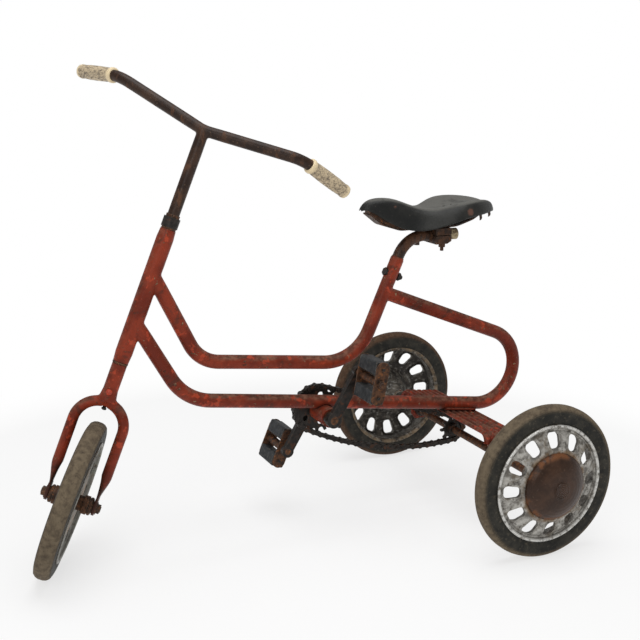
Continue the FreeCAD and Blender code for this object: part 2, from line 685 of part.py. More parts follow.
# ---------------------------------------------------------------- seat
def post_bolt_line():
    """The cross bolt through the seat tube, square to it, running fore and aft."""
    centre = SEAT_FOOT + SEAT_AXIS * ((POST_BOLT_Z - SEAT_FOOT.z) / SEAT_AXIS.z)
    across = V(SEAT_AXIS.z, 0, -SEAT_AXIS.x)
    return centre - across * 18.5, centre + across * 13.0, across


def seat_slot():
    """Saw cut down the back of the seat tube's top."""
    top = SEAT_FOOT + SEAT_AXIS * ((SEAT_TOP_Z - SEAT_FOOT.z) / SEAT_AXIS.z)
    cut = Part.makeBox(16, 1.8, 30, V(-16, -0.9, -26))
    cut.Placement = FreeCAD.Placement(top, FreeCAD.Rotation(Y, -SEAT_LEAN)) * cut.Placement
    return cut


def post_points():
    foot = SEAT_FOOT + SEAT_AXIS * 18
    corner = SEAT_FOOT + SEAT_AXIS * ((POST_LEVEL - SEAT_FOOT.z) / SEAT_AXIS.z)
    return [foot, corner, V(POST_END_X, 0, POST_LEVEL - 1.5)]


def make_seat_post():
    """The bent post, slotted for its bolt so that it can slide in the seat tube."""
    rear, front, across = post_bolt_line()
    middle = (rear + front) * 0.5
    slot_up, slot_down, slot_r = 12.0, 38.0, POST_BOLT_R + 0.1
    web = Part.makeBox(4 * TUBE_R, 2 * slot_r, slot_up + slot_down, V(-2 * TUBE_R, -slot_r, -slot_down))
    web.Placement = FreeCAD.Placement(middle, FreeCAD.Rotation(Y, -SEAT_LEAN)) * web.Placement
    ends = [rod(rear + SEAT_AXIS * h, front + SEAT_AXIS * h, slot_r) for h in (slot_up, -slot_down)]
    post = bent(post_points(), [POST_BEND], POST_R).cut([web] + ends)
    tube = rod(SEAT_FOOT, SEAT_FOOT + SEAT_AXIS * 120, TUBE_R)
    flats, head_t, nut_t, tail = 10.5, 3.8, 4.4, 3.6
    head = hexagon(front - across * head_t, front, flats).cut(tube)
    bolt = rod(rear, front, POST_BOLT_R).fuse(head).removeSplitter()
    nut_from = rear + across * tail
    bolt_nut = nut(nut_from, nut_from + across * nut_t, flats, POST_BOLT_R).cut(tube)
    export("seat_post", post)
    export("post_bolt", group([bolt, bolt_nut]))


def saddle_sections():
    """(x, ridge z, rim half width, rim z, skirt half width, skirt z) from nose to tail."""
    return [(177.0, 472.5, 3.0, 471.0, 5.0, 468.0),
            (165.0, 482.4, 8.0, 479.5, 12.0, 467.0),
            (150.0, 485.2, 12.0, 481.0, 17.0, 458.0),
            (130.0, 483.8, 14.0, 478.5, 22.0, 446.5),
            (105.0, 475.8, 17.0, 471.5, 28.0, 438.5),
            (85.0, 468.7, 22.0, 467.5, 38.0, 439.0),
            (60.0, 465.5, 36.0, 468.0, 52.0, 447.0),
            (40.0, 467.5, 48.0, 471.5, 57.0, 453.5),
            (20.0, 470.3, 49.2, 473.8, 55.5, 457.2),
            (0.0, 472.4, 41.0, 475.2, 48.5, 458.8),
            (-20.0, 473.6, 26.5, 475.4, 35.5, 460.0),
            (-38.0, 469.5, 9.0, 469.8, 15.0, 461.0)]


def saddle_strap():
    """Sprung steel strap under the saddle, from the nose to the tail."""
    width, thick = 24.0, 2.2
    level = STRAP_Z + thick / 2
    line = [V(166, 0, 463.5), V(146, 0, 447.5), V(118, 0, level), V(24, 0, level),
            V(-4, 0, 447), V(-27, 0, 460)]
    path = rounded(line, [16, 36, 60, 36])
    along = (line[1] - line[0]).normalize()
    across = V(-along.z, 0, along.x) * (thick / 2)
    side = Y * (width / 2)
    corners = [line[0] - across - side, line[0] - across + side, line[0] + across + side,
               line[0] + across - side]
    section = Part.makePolygon(corners + corners[:1])
    return path.makePipeShell([section], True, True)


def saddle_form(inset):
    """The saddle's outside for no inset, or what is hollow under it for the shell's thickness."""
    wires = []
    for x, ridge, rim_w, rim, skirt_w, skirt in saddle_sections():
        narrow = min(inset, rim_w * 0.6)
        top, rim, foot = ridge - inset, rim - inset, skirt - inset * 2
        rim_y, skirt_y = rim_w - narrow, skirt_w - narrow
        middle_y, middle = (rim_y + skirt_y * 2) / 3, (rim + foot) / 2
        points = [V(x, skirt_y, foot), V(x, middle_y, middle), V(x, rim_y, rim), V(x, 0, top),
                  V(x, -rim_y, rim), V(x, -middle_y, middle), V(x, -skirt_y, foot)]
        arch = Part.BSplineCurve()
        arch.interpolate(points)
        wires.append(Part.Wire([arch.toShape(), Part.LineSegment(points[-1], points[0]).toShape()]))
    return Part.makeLoft(wires, True, False)


def clamp_jaws(shanks):
    """The blocks above and below the post, with its bore and the bolts' holes."""
    gap, length = 0.6, CLAMP_X1 - CLAMP_X0
    post = bent(post_points(), [POST_BEND], POST_R + 0.02)
    jaws = []
    foot = POST_LEVEL - JAW_LOW
    for low, high in ((POST_LEVEL + gap, STRAP_Z), (foot, POST_LEVEL - gap)):
        block = Part.makeBox(length, CLAMP_W, high - low, V(CLAMP_X0, -CLAMP_W / 2, low))
        jaws.append(block.cut([post] + shanks))
    bevel = plate([(CLAMP_X0, foot), (CLAMP_X0 + JAW_BEVEL_X, foot), (CLAMP_X0, foot + JAW_BEVEL_Z)],
                  -CLAMP_W / 2, CLAMP_W / 2)
    jaws[1] = jaws[1].cut(bevel)
    return jaws


def make_saddle():
    """The shell, its strap and rivets, and the clamp: one bolt has a nut, the other is tapped in."""
    middle, side = (CLAMP_X0 + CLAMP_X1) / 2, POST_R + 5.0
    foot, hang, nut_t, head_t = POST_LEVEL - JAW_LOW, 10.5, 4.8, 4.0
    shanks = [rod(V(middle, y, low), V(middle, y, STRAP_Z), CLAMP_BOLT_R)
              for y, low in ((side, foot - hang), (-side, foot))]
    clamp_nut = nut(V(middle, side, foot - nut_t), V(middle, side, foot), 9.5, CLAMP_BOLT_R)
    stay_top = V(CLAMP_X1 + 14, -side, STRAP_Z)
    stay_foot = stay_top - Z * 27.0
    stay = rod(stay_foot, stay_top, CLAMP_BOLT_R).fuse(hexagon(stay_foot, stay_foot + Z * head_t, 8.5))
    rivets = [rod(V(x, y, STRAP_Z), V(x, y, STRAP_Z + 4), 2.2)
              for x in (CLAMP_X0 + 6, CLAMP_X1 - 6) for y in (-6, 6)]
    strap = saddle_strap()
    export("saddle_cover", largest(saddle_form(0).cut(saddle_form(COVER_T)).cut(strap)))
    export("saddle_strap", strap.cut(rivets))
    export("saddle_clamp", group(clamp_jaws(shanks)))
    export("clamp_bolts", group(shanks + [clamp_nut, stay.removeSplitter()]))
    export("saddle_rivets", group(rivets))


# ---------------------------------------------------------------- chain path
RING_R = PITCH / (2 * math.sin(math.pi / RING_TEETH))
COG_R = PITCH / (2 * math.sin(math.pi / COG_TEETH))
COG = V(0, 0, WHEEL_R)


def polar(centre, radius, degrees):
    a = math.radians(degrees)
    return centre + V(math.cos(a), 0, math.sin(a)) * radius


def chain_course(sag):
    """The pitch line's four stretches for a given angle at which the slack run leaves the ring."""
    between = BB - COG
    top = math.degrees(math.atan2(between.z, between.x) + math.acos((COG_R - RING_R) / between.Length))
    leave = polar(BB, RING_R, sag - 90)
    arrive_angle = 0.0
    for _ in range(40):
        arrive = polar(COG, COG_R, arrive_angle - 90)
        slope = 2 * (leave.z - arrive.z) / (leave.x - arrive.x) - math.tan(math.radians(sag))
        arrive_angle = math.degrees(math.atan(slope))

    def at(t):
        part, u = int(t) % 4, t - int(t)
        if part == 0:
            return polar(BB, RING_R, top + (sag - 90 - top) * u)
        if part == 1:
            x = leave.x + (arrive.x - leave.x) * u
            steep, flat = math.tan(math.radians(sag)), math.tan(math.radians(arrive_angle))
            run = x - arrive.x
            span = leave.x - arrive.x
            return V(x, 0, arrive.z + flat * run + (steep - flat) * run * run / (2 * span))
        if part == 2:
            return polar(COG, COG_R, arrive_angle - 90 + (top - 270 - arrive_angle) * u)
        return polar(COG, COG_R, top) * (1 - u) + polar(BB, RING_R, top) * u
    return at, top


def next_roller(at, t):
    """The next place on the course that is one pitch away in a straight line."""
    here = at(t)
    low, high = t, t
    while (at(high) - here).Length < PITCH:
        low, high = high, high + 0.01
    for _ in range(40):
        middle = (low + high) / 2
        if (at(middle) - here).Length < PITCH:
            low = middle
        else:
            high = middle
    return high


def march(sag):
    at, top = chain_course(sag)
    stops = [0.0]
    for _ in range(CHAIN_LINKS):
        stops.append(next_roller(at, stops[-1]))
    return at, top, stops


def chain_rollers():
    """Roller centres all the way round, the sag set so that a whole number of links closes."""
    tight, slack = 8.0, 40.0
    for _ in range(40):
        sag = (tight + slack) / 2
        at, top, stops = march(sag)
        if stops[-1] > 4:
            tight = sag
        else:
            slack = sag
    print("slack run leaves the ring at", round(sag, 2), "degrees")
    rollers = [at(t) for t in stops[:-1]]
    on_cog = [p for p, t in zip(rollers, stops) if 2.02 < t < 2.98][0] - COG
    return rollers, top, math.degrees(math.atan2(on_cog.z, on_cog.x))


def link_plates(y0, y1):
    """A pair of waisted link plates from the origin along +X, between two distances from Y = 0."""
    pieces = []
    for low in (y0, -y1):
        high = low + (y1 - y0)
        ends = [rod(V(x, low, 0), V(x, high, 0), 4.1) for x in (0, PITCH)]
        waist = Part.makeBox(PITCH, y1 - y0, 6.0, V(0, low, -3.0))
        pieces.append(ends[0].fuse([ends[1], waist]).removeSplitter())
    return pieces


def make_chain():
    rollers, top, cog_angle = chain_rollers()
    pin_r, bush_r = 1.8, 3.9
    inner = link_plates(2.6, 3.6)
    outer = link_plates(3.7, 4.7)
    tubes = [rod(V(x, -3.0, 0), V(x, 3.0, 0), bush_r) for x in (0, PITCH)]
    inner = inner[0].fuse([inner[1]] + tubes)
    inner = inner.cut([rod(V(x, -6, 0), V(x, 6, 0), pin_r + 0.1) for x in (0, PITCH)]).removeSplitter()
    pins = [rod(V(x, -5.2, 0), V(x, 5.2, 0), pin_r) for x in (0, PITCH)]
    outer = outer[0].fuse([outer[1]] + pins).removeSplitter()
    links = []
    for k, here in enumerate(rollers):
        there = rollers[(k + 1) % len(rollers)]
        run = there - here
        link = (inner if k % 2 == 0 else outer).copy()
        turn = FreeCAD.Rotation(Y, -math.degrees(math.atan2(run.z, run.x)))
        link.Placement = FreeCAD.Placement(here + Y * CHAIN_Y, turn)
        links.append(link)
    export("chain", group(links))
    return top, cog_angle


def sprocket(teeth, pitch_r, first, mouth):
    """A toothed plate about the Y axis. Each gap is round at its root and opens outwards to its mouth."""
    half = TOOTH_T / 2
    tip_r = PITCH / 2 * (0.6 + 1 / math.tan(math.pi / teeth))
    blank = rod(Y * -half, Y * half, tip_r)
    past_tip = tip_r + 1
    wedge = plate([(pitch_r, -ROOT_R), (past_tip, -mouth), (past_tip, mouth), (pitch_r, ROOT_R)],
                  -TOOTH_T, TOOTH_T)
    root = rod(V(pitch_r, -TOOTH_T, 0), V(pitch_r, TOOTH_T, 0), ROOT_R)
    gaps = []
    for k in range(teeth):
        degrees = -(first + k * 360 / teeth)
        gaps += [turn_about(cutter, ORIGIN, Y, degrees) for cutter in (wedge, root)]
    return blank.cut(gaps)


# ---------------------------------------------------------------- drive
def make_drive():
    top, cog_angle = make_chain()
    here = BB + Y * CHAIN_Y
    chainring = sprocket(RING_TEETH, RING_R, top, RING_MOUTH)
    boss_half, boss_r, windows, window_r = 5.5, 13.0, 5, 4.6
    chainring = chainring.fuse(rod(Y * -boss_half, Y * boss_half, boss_r)).removeSplitter()
    window_ring = (boss_r + RING_R - ROOT_R) / 2
    for k in range(windows):
        centre = polar(ORIGIN, window_ring, (k + 0.5) * 360 / windows)
        chainring = chainring.cut(rod(centre - Y * TOOTH_T, centre + Y * TOOTH_T, window_r))
    chainring = chainring.cut(rod(Y * -boss_half, Y * boss_half, SPINDLE_R))
    export("chainring", chainring.translated(here))
    cog = sprocket(COG_TEETH, COG_R, cog_angle, COG_MOUTH)
    boss = rod(Y * (-TOOTH_T / 2), Y * COG_BOSS_LENGTH, COG_BOSS_R)
    bore = rod(Y * -TOOTH_T, Y * COG_BOSS_LENGTH, AXLE_R)
    cog = cog.fuse(boss).removeSplitter().cut(bore).translated(COG + Y * CHAIN_Y)
    export("rear_sprocket", cog.cut(sprocket_pin()))


def make_cranks():
    """The spindle and its two arms, each held on by a cotter pin across the spindle."""
    half = ARM_T / 2
    spindle = rod(BB - Y * (ARM_Y_RIGHT + half), BB + Y * (ARM_Y_LEFT + half), SPINDLE_R)
    cotters = []
    arms = []
    for arm_y, degrees in ((ARM_Y_LEFT, CRANK_ANGLE), (-ARM_Y_RIGHT, CRANK_ANGLE + 180)):
        eye = polar(BB, CRANK, degrees)
        inner, outer = arm_y - half, arm_y + half
        boss = rod(BB + Y * inner, BB + Y * outer, ARM_BOSS_R)
        end = rod(eye + Y * inner, eye + Y * outer, ARM_EYE_R)
        along = (eye - BB).normalize()
        across = V(-along.z, 0, along.x)
        wide, narrow = across * ARM_HALF_BOSS, across * ARM_HALF_EYE
        corners = [BB + wide, BB - wide, eye - narrow, eye + narrow]
        bar = plate([(p.x, p.z) for p in corners], inner, outer)
        cotter_at = BB + Y * arm_y - along * COTTER_IN
        cotter = rod(cotter_at - across * COTTER_HALF, cotter_at + across * COTTER_HALF, COTTER_R)
        arm = boss.fuse([end, bar]).removeSplitter()
        arm = arm.cut(rod(BB + Y * inner, BB + Y * outer, SPINDLE_R)).cut(cotter)
        arm = arm.cut(rod(eye + Y * inner, eye + Y * outer, PEDAL_THREAD_R))
        arms.append(arm)
        cotters.append(cotter)
    spindle = spindle.cut(cotters)
    export("crank_spindle", spindle)
    export("left_crank", arms[0])
    export("right_crank", arms[1])
    export("crank_cotters", group(cotters))


def pedal_plate(y):
    """An upright end plate with round ends, from y outwards."""
    straight = PEDAL_H - PEDAL_W
    bar = Part.makeBox(PEDAL_W, PLATE_T, straight, V(-PEDAL_W / 2, y, -straight / 2))
    ends = [rod(V(0, y, z), V(0, y + PLATE_T, z), PEDAL_W / 2) for z in (-straight / 2, straight / 2)]
    return bar.fuse(ends).removeSplitter().cut(rod(Y * y, Y * (y + PLATE_T), PEDAL_PIN_R + RUN))


def pedal_block(z, through):
    """A rubber block between the plates, round at its long edges, on its rod."""
    block = Part.makeBox(BLOCK_W, PEDAL_OUT - PEDAL_IN - PLATE_T - 2 * BLOCK_END, BLOCK_H,
                         V(-BLOCK_W / 2, PEDAL_IN + PLATE_T + BLOCK_END, z - BLOCK_H / 2))
    long_edges = [e for e in block.Edges if abs(e.tangentAt(e.FirstParameter).y) > 0.99]
    return block.makeFillet(BLOCK_ROUND, long_edges).cut(through)


def pedal_spindle(inner_face):
    """The spindle from the crank's inner face to its outer end, and the nut there."""
    end = PEDAL_OUT + PLATE_T + 1.0
    neck = PEDAL_IN - 0.5
    screwed = rod(Y * inner_face, Y * neck, PEDAL_THREAD_R)
    pin = rod(Y * neck, Y * end, PEDAL_PIN_R)
    thread = rod(Y * end, Y * (end + 4.5), 3.0)
    collar = ring(Y * (inner_face + ARM_T), Y * neck, 6.5, PEDAL_PIN_R)
    spindle = screwed.fuse([pin, thread, collar]).removeSplitter()
    return group([spindle, nut(Y * end, Y * (end + 4.0), 10.0, 3.0)])


def make_pedal(side, name, arm_y, degrees, tilt):
    """A pedal on its spindle, drawn upright at the crank's eye and tilted about the spindle."""
    eye = polar(BB, CRANK, degrees)

    def place(shape, tilted=True):
        if tilted:
            shape = turn_about(shape, ORIGIN, Y, -tilt)
        if side < 0:
            shape = shape.mirror(ORIGIN, Y)
        return shape.translated(eye)

    rods = [rod(V(0, PEDAL_IN - 1.5, z), V(0, PEDAL_OUT + PLATE_T + 2.5, z), PEDAL_ROD_R)
            for z in (-BLOCK_GAP, BLOCK_GAP)]
    plates = [pedal_plate(y).cut(rods) for y in (PEDAL_IN, PEDAL_OUT)]
    sleeve = ring(Y * (PEDAL_IN + PLATE_T), Y * PEDAL_OUT, 6.2, PEDAL_PIN_R + RUN)
    blocks = [pedal_block(z, through) for z, through in zip((-BLOCK_GAP, BLOCK_GAP), rods)]
    export(name + "_pedal_spindle", place(pedal_spindle(arm_y - ARM_T / 2), tilted=False))
    export(name + "_pedal_cage", place(group(plates + [sleeve])))
    export(name + "_pedal_rods", place(group(rods)))
    export(name + "_pedal_blocks", place(group(blocks)))


make_frame()
make_carriage()
make_rear_wheel(1, "left", False)
make_rear_wheel(-1, "right", True)
make_rear_axle()
make_front_wheel()
make_fork()
make_collar()
make_handlebar()
make_seat_post()
make_saddle()
make_drive()
make_cranks()
make_pedal(1, "left", ARM_Y_LEFT, CRANK_ANGLE, PEDAL_TILT_LEFT)
make_pedal(-1, "right", ARM_Y_RIGHT, CRANK_ANGLE + 180, PEDAL_TILT_RIGHT)
for line in EXPORTED:
    print(*line)
print(len(EXPORTED), "nodes")
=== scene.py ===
import json
import math

import bmesh
import bpy
from mathutils import Matrix, Vector
from mathutils.bvhtree import BVHTree


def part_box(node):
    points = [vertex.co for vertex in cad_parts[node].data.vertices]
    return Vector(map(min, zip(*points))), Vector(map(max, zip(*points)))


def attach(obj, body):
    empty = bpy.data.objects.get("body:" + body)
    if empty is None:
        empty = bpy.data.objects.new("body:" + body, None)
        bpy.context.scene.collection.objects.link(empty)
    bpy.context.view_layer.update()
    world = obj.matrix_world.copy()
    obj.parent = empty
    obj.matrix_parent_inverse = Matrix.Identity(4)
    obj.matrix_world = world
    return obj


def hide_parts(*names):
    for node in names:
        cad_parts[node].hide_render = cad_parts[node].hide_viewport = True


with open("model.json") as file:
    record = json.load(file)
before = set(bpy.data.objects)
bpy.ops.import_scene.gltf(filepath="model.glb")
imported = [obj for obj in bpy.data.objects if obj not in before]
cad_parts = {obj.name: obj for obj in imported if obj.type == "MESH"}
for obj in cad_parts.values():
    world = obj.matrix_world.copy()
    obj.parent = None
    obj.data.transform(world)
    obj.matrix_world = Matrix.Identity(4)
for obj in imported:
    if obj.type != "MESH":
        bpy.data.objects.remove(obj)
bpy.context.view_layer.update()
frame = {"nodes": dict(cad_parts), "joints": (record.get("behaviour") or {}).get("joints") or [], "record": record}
NODES = frame["nodes"]
JOINTS = {joint["name"]: joint for joint in frame["joints"]}
SLOTS = {part["node"]: part["material_slot"] for part in frame["record"]["subparts"]}
MM = 0.001
X, Y, Z = Vector((1, 0, 0)), Vector((0, 1, 0)), Vector((0, 0, 1))


# ---------------------------------------------------------------- places, read from the frame
def joint_axis(name):
    return Vector(JOINTS[name]["axis"]).normalized()


def middle(node):
    """The middle of a node's box."""
    low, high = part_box(node)
    return (low + high) / 2


def half_height(node):
    low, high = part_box(node)
    return (high.z - low.z) / 2


def along(node, axis):
    """The lowest and highest reach of a node's vertices along a direction."""
    reaches = [v.co.dot(axis) for v in NODES[node].data.vertices]
    return min(reaches), max(reaches)


def end_centre(node, axis, depth=0.2 * MM):
    """The middle of the node's end that lies furthest back along a direction."""
    low, _ = along(node, axis)
    end = [v.co for v in NODES[node].data.vertices if v.co.dot(axis) < low + depth]
    return sum(end, Vector()) / len(end)


STEER_AXIS = joint_axis("steering")
FRONT_AXLE = Vector(JOINTS["front_wheel_spin"]["pos_m"])
FRONT_SPIN = joint_axis("front_wheel_spin")
SEAT_AXIS = joint_axis("seat_height")
ON_STEERING = FRONT_AXLE - STEER_AXIS * FRONT_AXLE.dot(STEER_AXIS)
WHEELS = {
    "left": (middle("left_tyre"), Y),
    "right": (middle("right_tyre"), -Y),
    "front": (FRONT_AXLE, FRONT_SPIN),
}
HUB_CAP_R = half_height("left_hub_cap")
TYRE_R = half_height("left_tyre")


# ---------------------------------------------------------------- materials
def rgb(red, green, blue):
    return (red, green, blue, 1.0)


class Surface:
    """One procedural material: a Principled shader and the nodes that feed it."""

    def __init__(self, name, metallic=0.0):
        self.material = bpy.data.materials.new(name)
        self.material.use_nodes = True
        self.nodes = self.material.node_tree.nodes
        self.links = self.material.node_tree.links
        self.shader = self.nodes["Principled BSDF"]
        self.shader.inputs["Metallic"].default_value = metallic
        coordinates = self.nodes.new("ShaderNodeTexCoord")
        self.place = coordinates.outputs["Object"]
        self.normal = coordinates.outputs["Normal"]
        self.relief = None

    def feed(self, socket, value):
        """Give an input a value: a number, a colour or another node's output."""
        if isinstance(value, bpy.types.NodeSocket):
            self.links.new(value, socket)
        else:
            socket.default_value = value

    def add(self, kind, values, output=0, **settings):
        """A node with its inputs and settings."""
        node = self.nodes.new("ShaderNode" + kind)
        for key, value in settings.items():
            setattr(node, key, value)
        for key, value in values.items():
            self.feed(node.inputs[key], value)
        return node.outputs[output]

    def sum(self, first, second):
        return self.add("Math", {0: first, 1: second}, operation="ADD")

    def product(self, first, second):
        return self.add("Math", {0: first, 1: second}, operation="MULTIPLY")

    def larger(self, first, second):
        return self.add("Math", {0: first, 1: second}, operation="MAXIMUM")

    def inverse(self, value):
        return self.add("Math", {0: 1.0, 1: value}, operation="SUBTRACT")

    def fade(self, value, low, high):
        """0 at low and 1 at high, smooth between them; low may be above high."""
        if low < high:
            limits = {"From Min": low, "From Max": high}
            return self.add("MapRange", {"Value": value, **limits}, interpolation_type="SMOOTHSTEP")
        return self.inverse(self.fade(value, high, low))

    def mix(self, first, second, share):
        """The first colour where share is 0, and the second where it is 1."""
        return self.add("Mix", {0: share, 6: first, 7: second}, 2, data_type="RGBA")

    def lay(self, colour, over, mask, strength):
        """The colour with another laid over it where mask is 1, at the given strength."""
        return self.mix(colour, over, self.product(mask, strength))

    def noise(self, grain, detail=4.0, stretch=(1, 1, 1), shift=0.0, twist=0.0):
        """Noise with spots of about the given size in metres, drawn out along the axes by stretch."""
        scale = [1 / (grain * s) for s in stretch]
        settings = {"Vector": self.place, "Scale": scale, "Location": (shift, shift, -shift)}
        place = self.add("Mapping", settings)
        values = {"Vector": place, "Scale": 1.0, "Detail": detail, "Roughness": 0.6, "Distortion": twist}
        return self.add("TexNoise", values)

    def patches(self, grain, low, high, **look):
        """Patches of about the given size in metres: 0 where the noise is low, 1 where it is high."""
        return self.fade(self.noise(grain, **look), low, high)

    def cells(self, grain):
        place = self.add("Mapping", {"Vector": self.place, "Scale": [1 / grain] * 3})
        return self.add("TexVoronoi", {"Vector": place, "Scale": 1.0})

    def facing(self, direction):
        """How far the surface looks in a direction: 1 squarely, 0 sideways, -1 away."""
        values = {0: self.normal, 1: direction}
        return self.add("VectorMath", values, "Value", operation="DOT_PRODUCT")

    def radius(self, centre, axis):
        """Distance from an axis, in metres."""
        away = self.add("VectorMath", {0: self.place, 1: centre}, operation="SUBTRACT")
        across = self.add("VectorMath", {0: away, 1: axis}, operation="CROSS_PRODUCT")
        return self.add("VectorMath", {0: across}, "Value", operation="LENGTH")

    def distance(self, point):
        return self.add("VectorMath", {0: self.place, 1: point}, "Value", operation="DISTANCE")

    def edges(self, reach):
        """1 along sharp edges and 0 on open faces."""
        rounded = self.add("Bevel", {"Radius": reach}, samples=4)
        sharp = self.add("NewGeometry", {}, "Normal")
        same = self.add("VectorMath", {0: rounded, 1: sharp}, "Value", operation="DOT_PRODUCT")
        return self.fade(same, 0.995, 0.90)

    def crevice(self, reach):
        """1 deep in corners and 0 in the open."""
        open_sky = self.add("AmbientOcclusion", {"Distance": reach}, "AO", samples=4)
        return self.fade(open_sky, 0.85, 0.25)

    def raise_by(self, height, depth):
        """Add relief: height is 0 to 1, and depth is its size in metres."""
        values = {"Height": height, "Distance": depth, "Strength": 1.0}
        if self.relief is not None:
            values["Normal"] = self.relief
        self.relief = self.add("Bump", values)

    def finish(self, colour, roughness, metallic=None, specular=None):
        """Feed the shader, leaving what is not given as it was, and hand over the material."""
        for name, value in (("Base Color", colour), ("Roughness", roughness), ("Metallic", metallic),
                            ("Specular IOR Level", specular), ("Normal", self.relief)):
            if value is not None:
                self.feed(self.shader.inputs[name], value)
        return self.material


def red_paint():
    """Brick-red enamel: browned and streaked on top, brighter in spots, chipped and scratched."""
    s = Surface("red_paint")
    deep_red, brick_red = rgb(0.125, 0.016, 0.006), rgb(0.220, 0.031, 0.012)
    bright_red = rgb(0.40, 0.055, 0.022)
    dark_oxide, pale_oxide = rgb(0.070, 0.031, 0.019), rgb(0.185, 0.088, 0.056)
    bare_steel, old_steel = rgb(0.27, 0.17, 0.10), rgb(0.055, 0.026, 0.016)
    dirt, shade = rgb(0.048, 0.019, 0.012), rgb(0.025, 0.013, 0.010)
    axle_grease = rgb(0.030, 0.017, 0.012)

    colour = s.mix(deep_red, brick_red, s.patches(0.045, 0.38, 0.62))
    streaks = s.noise(0.012, 6, stretch=(4, 1, 1), twist=0.6)
    topside = s.product(s.fade(s.facing(Z), 0.10, 0.75), s.fade(streaks, 0.34, 0.56))
    oxide = s.mix(dark_oxide, pale_oxide, s.patches(0.008, 0.38, 0.62, detail=6))
    colour = s.lay(colour, oxide, topside, 0.88)
    colour = s.lay(colour, bright_red, s.patches(0.014, 0.58, 0.66, detail=3, shift=3.0), 0.7)
    colour = s.lay(colour, dirt, s.patches(0.026, 0.54, 0.66, detail=8, shift=7.0, twist=1.0), 0.65)
    chips = s.patches(0.007, 0.635, 0.66, detail=8, shift=11.0)
    scratches = s.patches(0.0022, 0.68, 0.72, detail=2, stretch=(1, 1, 14), shift=5.0, twist=2.0)
    marks = s.larger(chips, s.product(scratches, s.patches(0.05, 0.45, 0.55, shift=1.0)))
    bare = s.mix(bare_steel, old_steel, s.patches(0.006, 0.42, 0.56, shift=2.0))
    colour = s.lay(colour, bare, marks, 0.9)
    colour = s.lay(colour, shade, s.crevice(0.012), 0.8)
    fork_end = s.fade(s.sum(s.distance(FRONT_AXLE), s.product(streaks, 0.03)), 0.088, 0.052)
    colour = s.lay(colour, axle_grease, fork_end, 0.85)
    s.raise_by(s.noise(0.0016, 3), 0.00015)
    s.raise_by(s.noise(0.010, 3), 0.0005)
    s.raise_by(s.inverse(marks), 0.0003)
    roughness = s.sum(0.38, s.product(s.larger(topside, marks), 0.34))
    return s.finish(colour, roughness, specular=0.16)


def japanned(name, rubbing, pale_end=None):
    """Very dark brown lacquered tube, warmer where it has rubbed through; one end may be bare brass."""
    s = Surface(name)
    black_brown, brown = rgb(0.018, 0.0085, 0.005), rgb(0.042, 0.021, 0.012)
    warm_brown, speck = rgb(0.105, 0.046, 0.022), rgb(0.18, 0.11, 0.065)
    bright_brass, dull_brass = rgb(0.42, 0.34, 0.20), rgb(0.17, 0.12, 0.07)

    colour = s.mix(black_brown, brown, s.patches(0.02, 0.35, 0.65))
    rubbed = s.patches(0.009, 0.58 - rubbing, 0.72 - rubbing, detail=7, stretch=(1, 1, 3), shift=4.0)
    colour = s.lay(colour, warm_brown, rubbed, 0.65)
    specks = s.patches(0.003, 0.63, 0.67, detail=6, shift=9.0)
    colour = s.lay(colour, speck, specks, 0.5)
    if pale_end:
        brass = s.mix(bright_brass, dull_brass, s.patches(0.005, 0.4, 0.6, detail=6))
        colour = s.mix(colour, brass, s.fade(s.distance(pale_end), 0.024, 0.019))
    s.raise_by(s.noise(0.0018, 3), 0.00012)
    s.raise_by(s.noise(0.008, 4), 0.0004)
    roughness = s.sum(0.36, s.product(s.larger(rubbed, specks), 0.3))
    return s.finish(colour, roughness, specular=0.22)


def black_iron():
    """Black greasy iron, with dust on its edges and rust where the grease has gone."""
    s = Surface("black_iron", metallic=0.2)
    black, grease = rgb(0.010, 0.009, 0.008), rgb(0.026, 0.021, 0.018)
    rust_brown, dust = rgb(0.095, 0.038, 0.018), rgb(0.12, 0.10, 0.08)

    colour = s.mix(black, grease, s.patches(0.006, 0.35, 0.65))
    rust = s.patches(0.011, 0.54, 0.66, detail=7, shift=3.0)
    colour = s.lay(colour, rust_brown, rust, 0.65)
    colour = s.lay(colour, dust, s.edges(0.0008), 0.5)
    s.raise_by(s.noise(0.0014, 4), 0.0002)
    return s.finish(colour, s.sum(0.42, s.product(rust, 0.35)), specular=0.25)


def rusted(name, share=1.0):
    """Bare steel gone brown: dark scale, orange bloom, a little metal left on the edges."""
    s = Surface(name, metallic=0.15)
    dark_brown, rust_brown = rgb(0.035, 0.018, 0.011), rgb(0.11, 0.048, 0.022)
    orange, black_scale = rgb(0.33, 0.12, 0.035), rgb(0.020, 0.013, 0.010)
    metal = rgb(0.24, 0.19, 0.15)

    colour = s.mix(dark_brown, rust_brown, s.patches(0.007, 0.35, 0.65, detail=6))
    bloom_and_top_sheen = s.patches(0.004, 0.55, 0.67, detail=8, shift=6.0)
    colour = s.lay(colour, orange, bloom_and_top_sheen, 0.6 * share)
    scale = s.patches(0.012, 0.54 - 0.30 * (1 - share), 0.66, detail=5, shift=2.0)
    colour = s.lay(colour, black_scale, scale, 0.85)
    colour = s.lay(colour, metal, s.edges(0.0007), 0.35 * share)
    s.raise_by(s.noise(0.0012, 5), 0.0003)
    return s.finish(colour, s.sum(0.55, s.product(bloom_and_top_sheen, 0.3)), specular=0.22)


